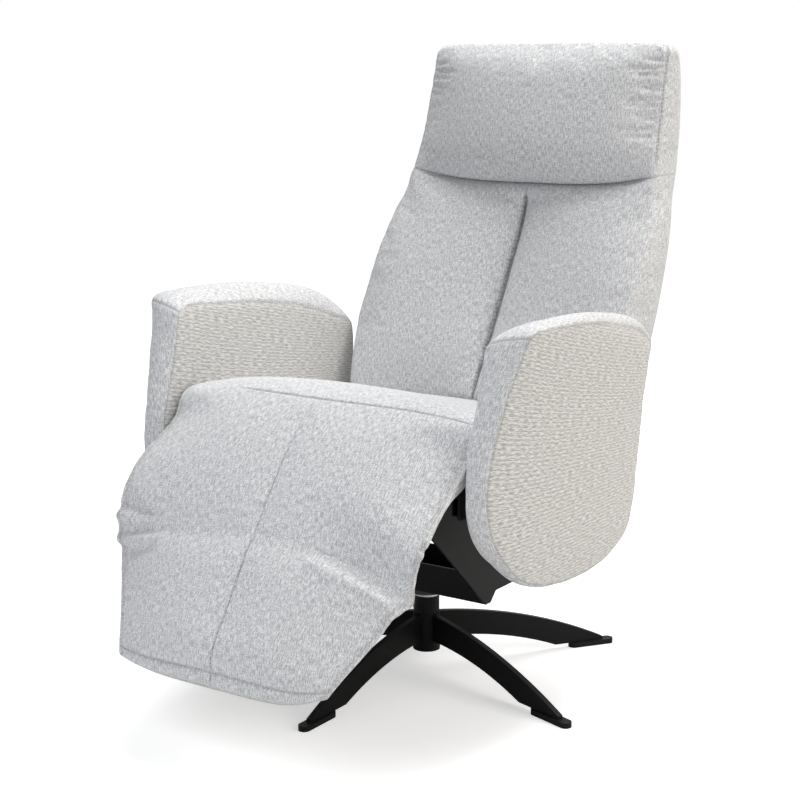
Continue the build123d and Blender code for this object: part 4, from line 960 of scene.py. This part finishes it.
def cloth(name):
    """Upholstery finish by name, made on first use."""
    if name in bpy.data.materials:
        return bpy.data.materials[name]
    look = bpy.context.scene.recliner_cloth
    material, tree, shader = finish(name)
    place = node(tree, "ShaderNodeUVMap", uv_map="weave").outputs[0]
    ribbed = name == "upholstery_ribbed"
    apart = node(tree, "ShaderNodeSeparateXYZ", {0: place}).outputs
    if ribbed:
        slub = threads(tree, place, 0.0125, 0.0014)
        ribs = maths(tree, "SINE", maths(tree, "MULTIPLY", apart[1], 2 * pi / look.rib_pitch))
        fine = maths(tree, "MULTIPLY_ADD", ribs, 0.13, 0.5)
    else:
        slub = threads(tree, place, look.streak_width, look.streak_length)
        fine = threads(tree, place, look.streak_length, look.streak_width)
    speck = threads(tree, place, 0.0012, 0.0012, 0.0)
    mixed = maths(tree, "MULTIPLY_ADD", slub, 0.5, maths(tree, "MULTIPLY_ADD", fine, 0.28,
                                                       maths(tree, "MULTIPLY", speck, 0.22)))
    share = node(tree, "ShaderNodeMapRange", {"Value": mixed, "From Min": 0.43, "From Max": 0.577}).outputs[0]
    light, dark = (look.rib_light, look.rib_dark) if ribbed else (look.yarn_light, look.yarn_dark)
    # Boxing mixes melange and ribbed threads, so it carries half the painted warm side light
    if name == "upholstery_boxing":
        light = [(a + b) / 2 for a, b in zip(look.yarn_light, look.rib_light)]
        dark = [(a + b) / 2 for a, b in zip(look.yarn_dark, look.rib_dark)]
    colour = node(tree, "ShaderNodeMix", {0: share}, data_type="RGBA")
    for socket, value in zip((s for s in colour.inputs if s.type == "RGBA"), (dark, light)):
        socket.default_value = (*value, 1)
    woven = next(s for s in colour.outputs if s.type == "RGBA")
    # Seams are darkened in colour: stitches show as short dashes along a seam, over painted shade in the seam's
    # groove; the strongest seams and the crease are painted fully dark
    dash = maths(tree, "LESS_THAN", maths(tree, "FRACT", maths(tree, "MULTIPLY", apart[1], STITCHES)), 0.6)
    sewn = node(tree, "ShaderNodeAttribute", attribute_name="seam").outputs["Fac"]
    stitch_and_groove_shade = maths(tree, "MAXIMUM", maths(tree, "MULTIPLY", sewn, maths(tree, "MULTIPLY_ADD", dash, 0.5, 0.5)),
                     maths(tree, "MULTIPLY_ADD", sewn, 3.0, -1.8))
    # Painted seam and crease shade, with the stitch dashes: colour scaled from 1 down to 0.34
    shade = node(tree, "ShaderNodeMapRange", {"Value": stitch_and_groove_shade, "To Min": 1.0, "To Max": 0.34}).outputs[0]
    shaded = node(tree, "ShaderNodeVectorMath", {0: woven, "Scale": shade}, operation="SCALE").outputs[0]
    tree.links.new(shaded, shader.inputs["Base Color"])
    bump = node(tree, "ShaderNodeBump", {"Height": mixed, "Strength": 0.55, "Distance": 0.0016})
    tree.links.new(bump.outputs[0], shader.inputs["Normal"])
    shader.inputs["Roughness"].default_value = 0.92
    shader.inputs["Sheen Weight"].default_value = 0.25
    shader.inputs["Sheen Roughness"].default_value = 0.5
    shader.inputs["Specular IOR Level"].default_value = 0.2
    return material


def rigid(name, colour, roughness, metallic=0.0, grain=0.0, grain_size=0.001, along=(1, 1, 1), spread=0.12,
          gloss=0.5):
    """Finish of a hard piece: a little colour variation and fine relief."""
    material, tree, shader = finish(name)
    place = node(tree, "ShaderNodeTexCoord").outputs["Object"]
    scaled = node(tree, "ShaderNodeVectorMath", {0: place, 1: tuple(a / grain_size for a in along)},
                  operation="MULTIPLY").outputs[0]
    fleck = node(tree, "ShaderNodeTexNoise", {"Vector": scaled, "Scale": 1.0, "Detail": 3.0}).outputs["Fac"]
    shade = node(tree, "ShaderNodeMapRange", {"Value": fleck, "From Min": 0.3, "From Max": 0.7,
                                              "To Min": 1 - spread, "To Max": 1 + spread}).outputs[0]
    tint = node(tree, "ShaderNodeVectorMath", {0: tuple(colour), "Scale": shade}, operation="SCALE").outputs[0]
    tree.links.new(tint, shader.inputs["Base Color"])
    if grain:
        bump = node(tree, "ShaderNodeBump", {"Height": fleck, "Strength": 0.5, "Distance": grain})
        tree.links.new(bump.outputs[0], shader.inputs["Normal"])
    shader.inputs["Roughness"].default_value = roughness
    shader.inputs["Metallic"].default_value = metallic
    shader.inputs["Specular IOR Level"].default_value = gloss
    return material


class RECLINER_OT_finish_frame(bpy.types.Operator):
    """Give the base, swivel, seat frame, boards and straps their finishes"""

    bl_idname = "recliner.finish_frame"
    bl_label = "Finish Frame"
    bl_options = {"REGISTER", "UNDO"}

    def execute(self, context):
        finishes = {
            "black_steel": rigid("powder_coat", (0.006, 0.006, 0.0065), 0.50, grain=0.00025, grain_size=0.0012,
                                 gloss=0.16),
            "black_plastic": rigid("glide_plastic", (0.008, 0.008, 0.0085), 0.58, grain=0.0001, grain_size=0.0006,
                                   gloss=0.16),
            "bearing_plastic": rigid("bearing_plastic", (0.80, 0.80, 0.75), 0.45, grain_size=0.004),
            "bright_steel": rigid("bright_steel", (0.50, 0.51, 0.53), 0.22, 1.0, grain_size=0.01, spread=0.04),
            "zinc_steel": rigid("zinc_steel", (0.055, 0.055, 0.058), 0.36, 1.0, grain=0.00006, grain_size=0.002),
            "plywood": rigid("birch_plywood", (0.66, 0.50, 0.33), 0.62, grain=0.0002, grain_size=0.004,
                             along=(1, 0.08, 1)),
            "webbing": rigid("elastic_webbing", (0.035, 0.035, 0.036), 0.85, grain=0.0004, grain_size=0.0016,
                             along=(1, 0.3, 1)),
        }
        for part in frame["record"]["subparts"]:
            made = finishes.get(part["material_slot"])
            if made:
                shown = frame["nodes"][part["node"]]
                shown.data.materials.clear()
                shown.data.materials.append(made)
        return {"FINISHED"}


class RECLINER_OT_set_stage(bpy.types.Operator):
    """Lay a white floor, hang soft studio lights and set the camera"""

    bl_idname = "recliner.set_stage"
    bl_label = "Set Stage"
    bl_options = {"REGISTER", "UNDO"}

    def execute(self, context):
        stage = context.scene.recliner_stage
        context.scene.view_settings.view_transform = "Standard"
        self.floor(stage)
        self.world(context, stage)
        self.lamp("top_box", (0.0, 1.0, 3.4), (0, 0, 0.3), 2.6, stage.top_light, (1.0, 0.995, 0.985))
        self.lamp("warm_box", (2.95, 0.4, 1.65), (0, 0, 0.5), 2.0, stage.warm_light, (1.0, 0.955, 0.88))
        self.lamp("front_box", (0.05, -1.9, 1.4), (0, -0.4, 0.4), 1.0, stage.front_light, (0.945, 0.97, 1.0))
        data = bpy.data.cameras.new("camera")
        data.lens = stage.lens
        data.sensor_width = 36.0
        camera = bpy.data.objects.new("camera", data)
        place = Vector(stage.camera_place)
        camera.location = place
        camera.rotation_euler = (Vector(stage.camera_aim) - place).to_track_quat("-Z", "Y").to_euler()
        context.scene.collection.objects.link(camera)
        context.scene.camera = camera
        return {"FINISHED"}

    def floor(self, stage):
        half = stage.floor_size / 2
        mesh = bpy.data.meshes.new("floor")
        mesh.from_pydata([(-half, -half, 0), (half, -half, 0), (half, half, 0), (-half, half, 0)], [], [(0, 1, 2, 3)])
        floor = bpy.data.objects.new("floor", mesh)
        bpy.context.scene.collection.objects.link(floor)
        material, tree, shader = finish("studio_floor")
        shader.inputs["Base Color"].default_value = (0.86, 0.86, 0.86, 1)
        shader.inputs["Roughness"].default_value = 0.9
        shader.inputs["Specular IOR Level"].default_value = 0.0
        place = node(tree, "ShaderNodeTexCoord").outputs["Object"]
        away = node(tree, "ShaderNodeVectorMath", {0: place}, operation="LENGTH").outputs["Value"]
        lift = node(tree, "ShaderNodeMapRange", {"Value": away, "From Min": 0.7, "From Max": 2.6,
                                                 "To Min": 0.52, "To Max": 1.0}).outputs[0]
        seen = node(tree, "ShaderNodeLightPath").outputs["Is Camera Ray"]
        glow = maths(tree, "MULTIPLY", seen, lift)
        shader.inputs["Emission Color"].default_value = (1, 1, 1, 1)
        tree.links.new(glow, shader.inputs["Emission Strength"])
        mesh.materials.append(material)

    def world(self, context, stage):
        world = bpy.data.worlds.new("studio")
        context.scene.world = world
        world.use_nodes = True
        tree = world.node_tree
        path = node(tree, "ShaderNodeLightPath").outputs
        direct = maths(tree, "MAXIMUM", path["Is Camera Ray"], maths(
            tree, "MAXIMUM", path["Is Glossy Ray"], path["Is Transmission Ray"]))
        strength = node(tree, "ShaderNodeMapRange", {"Value": direct, "To Min": stage.ambient, "To Max": 1.0})
        background = tree.nodes["Background"]
        background.inputs["Color"].default_value = (1, 1, 1, 1)
        tree.links.new(strength.outputs[0], background.inputs["Strength"])

    def lamp(self, name, place, aim, size, power, colour):
        data = bpy.data.lights.new(name, "AREA")
        data.shape = "SQUARE"
        data.size = size
        data.energy = power
        data.color = colour
        lamp = bpy.data.objects.new(name, data)
        lamp.location = place
        lamp.rotation_euler = (Vector(aim) - Vector(place)).to_track_quat("-Z", "Y").to_euler()
        bpy.context.scene.collection.objects.link(lamp)


class RECLINER_PT_dress(bpy.types.Panel):
    """Lists the recliner's covers, finishes and stage"""

    bl_idname = "RECLINER_PT_dress"
    bl_label = "Recliner"
    bl_space_type = "VIEW_3D"
    bl_region_type = "UI"
    bl_category = "Recliner"

    def draw(self, context):
        for step in STEPS:
            self.layout.operator(step.bl_idname)
        for group in (context.scene.recliner_cloth, context.scene.recliner_stage):
            box = self.layout.box()
            for name in group.bl_rna.properties.keys():
                if name not in ("rna_type", "name"):
                    box.prop(group, name)


STEPS = (RECLINER_OT_finish_frame, RECLINER_OT_cover_arms, RECLINER_OT_cover_back,
         RECLINER_OT_cover_seat, RECLINER_OT_cover_flap, RECLINER_OT_set_stage)
CLASSES = (ReclinerCloth, ReclinerStage, *STEPS, RECLINER_PT_dress)


def register():
    for cls in CLASSES:
        bpy.utils.register_class(cls)
    bpy.types.Scene.recliner_cloth = bpy.props.PointerProperty(type=ReclinerCloth)
    bpy.types.Scene.recliner_stage = bpy.props.PointerProperty(type=ReclinerStage)


def unregister():
    del bpy.types.Scene.recliner_stage
    del bpy.types.Scene.recliner_cloth
    for cls in reversed(CLASSES):
        bpy.utils.unregister_class(cls)


def main():
    register()
    for step in STEPS:
        group, name = step.bl_idname.split(".")
        getattr(getattr(bpy.ops, group), name)()


if __name__ == "__main__":
    main()
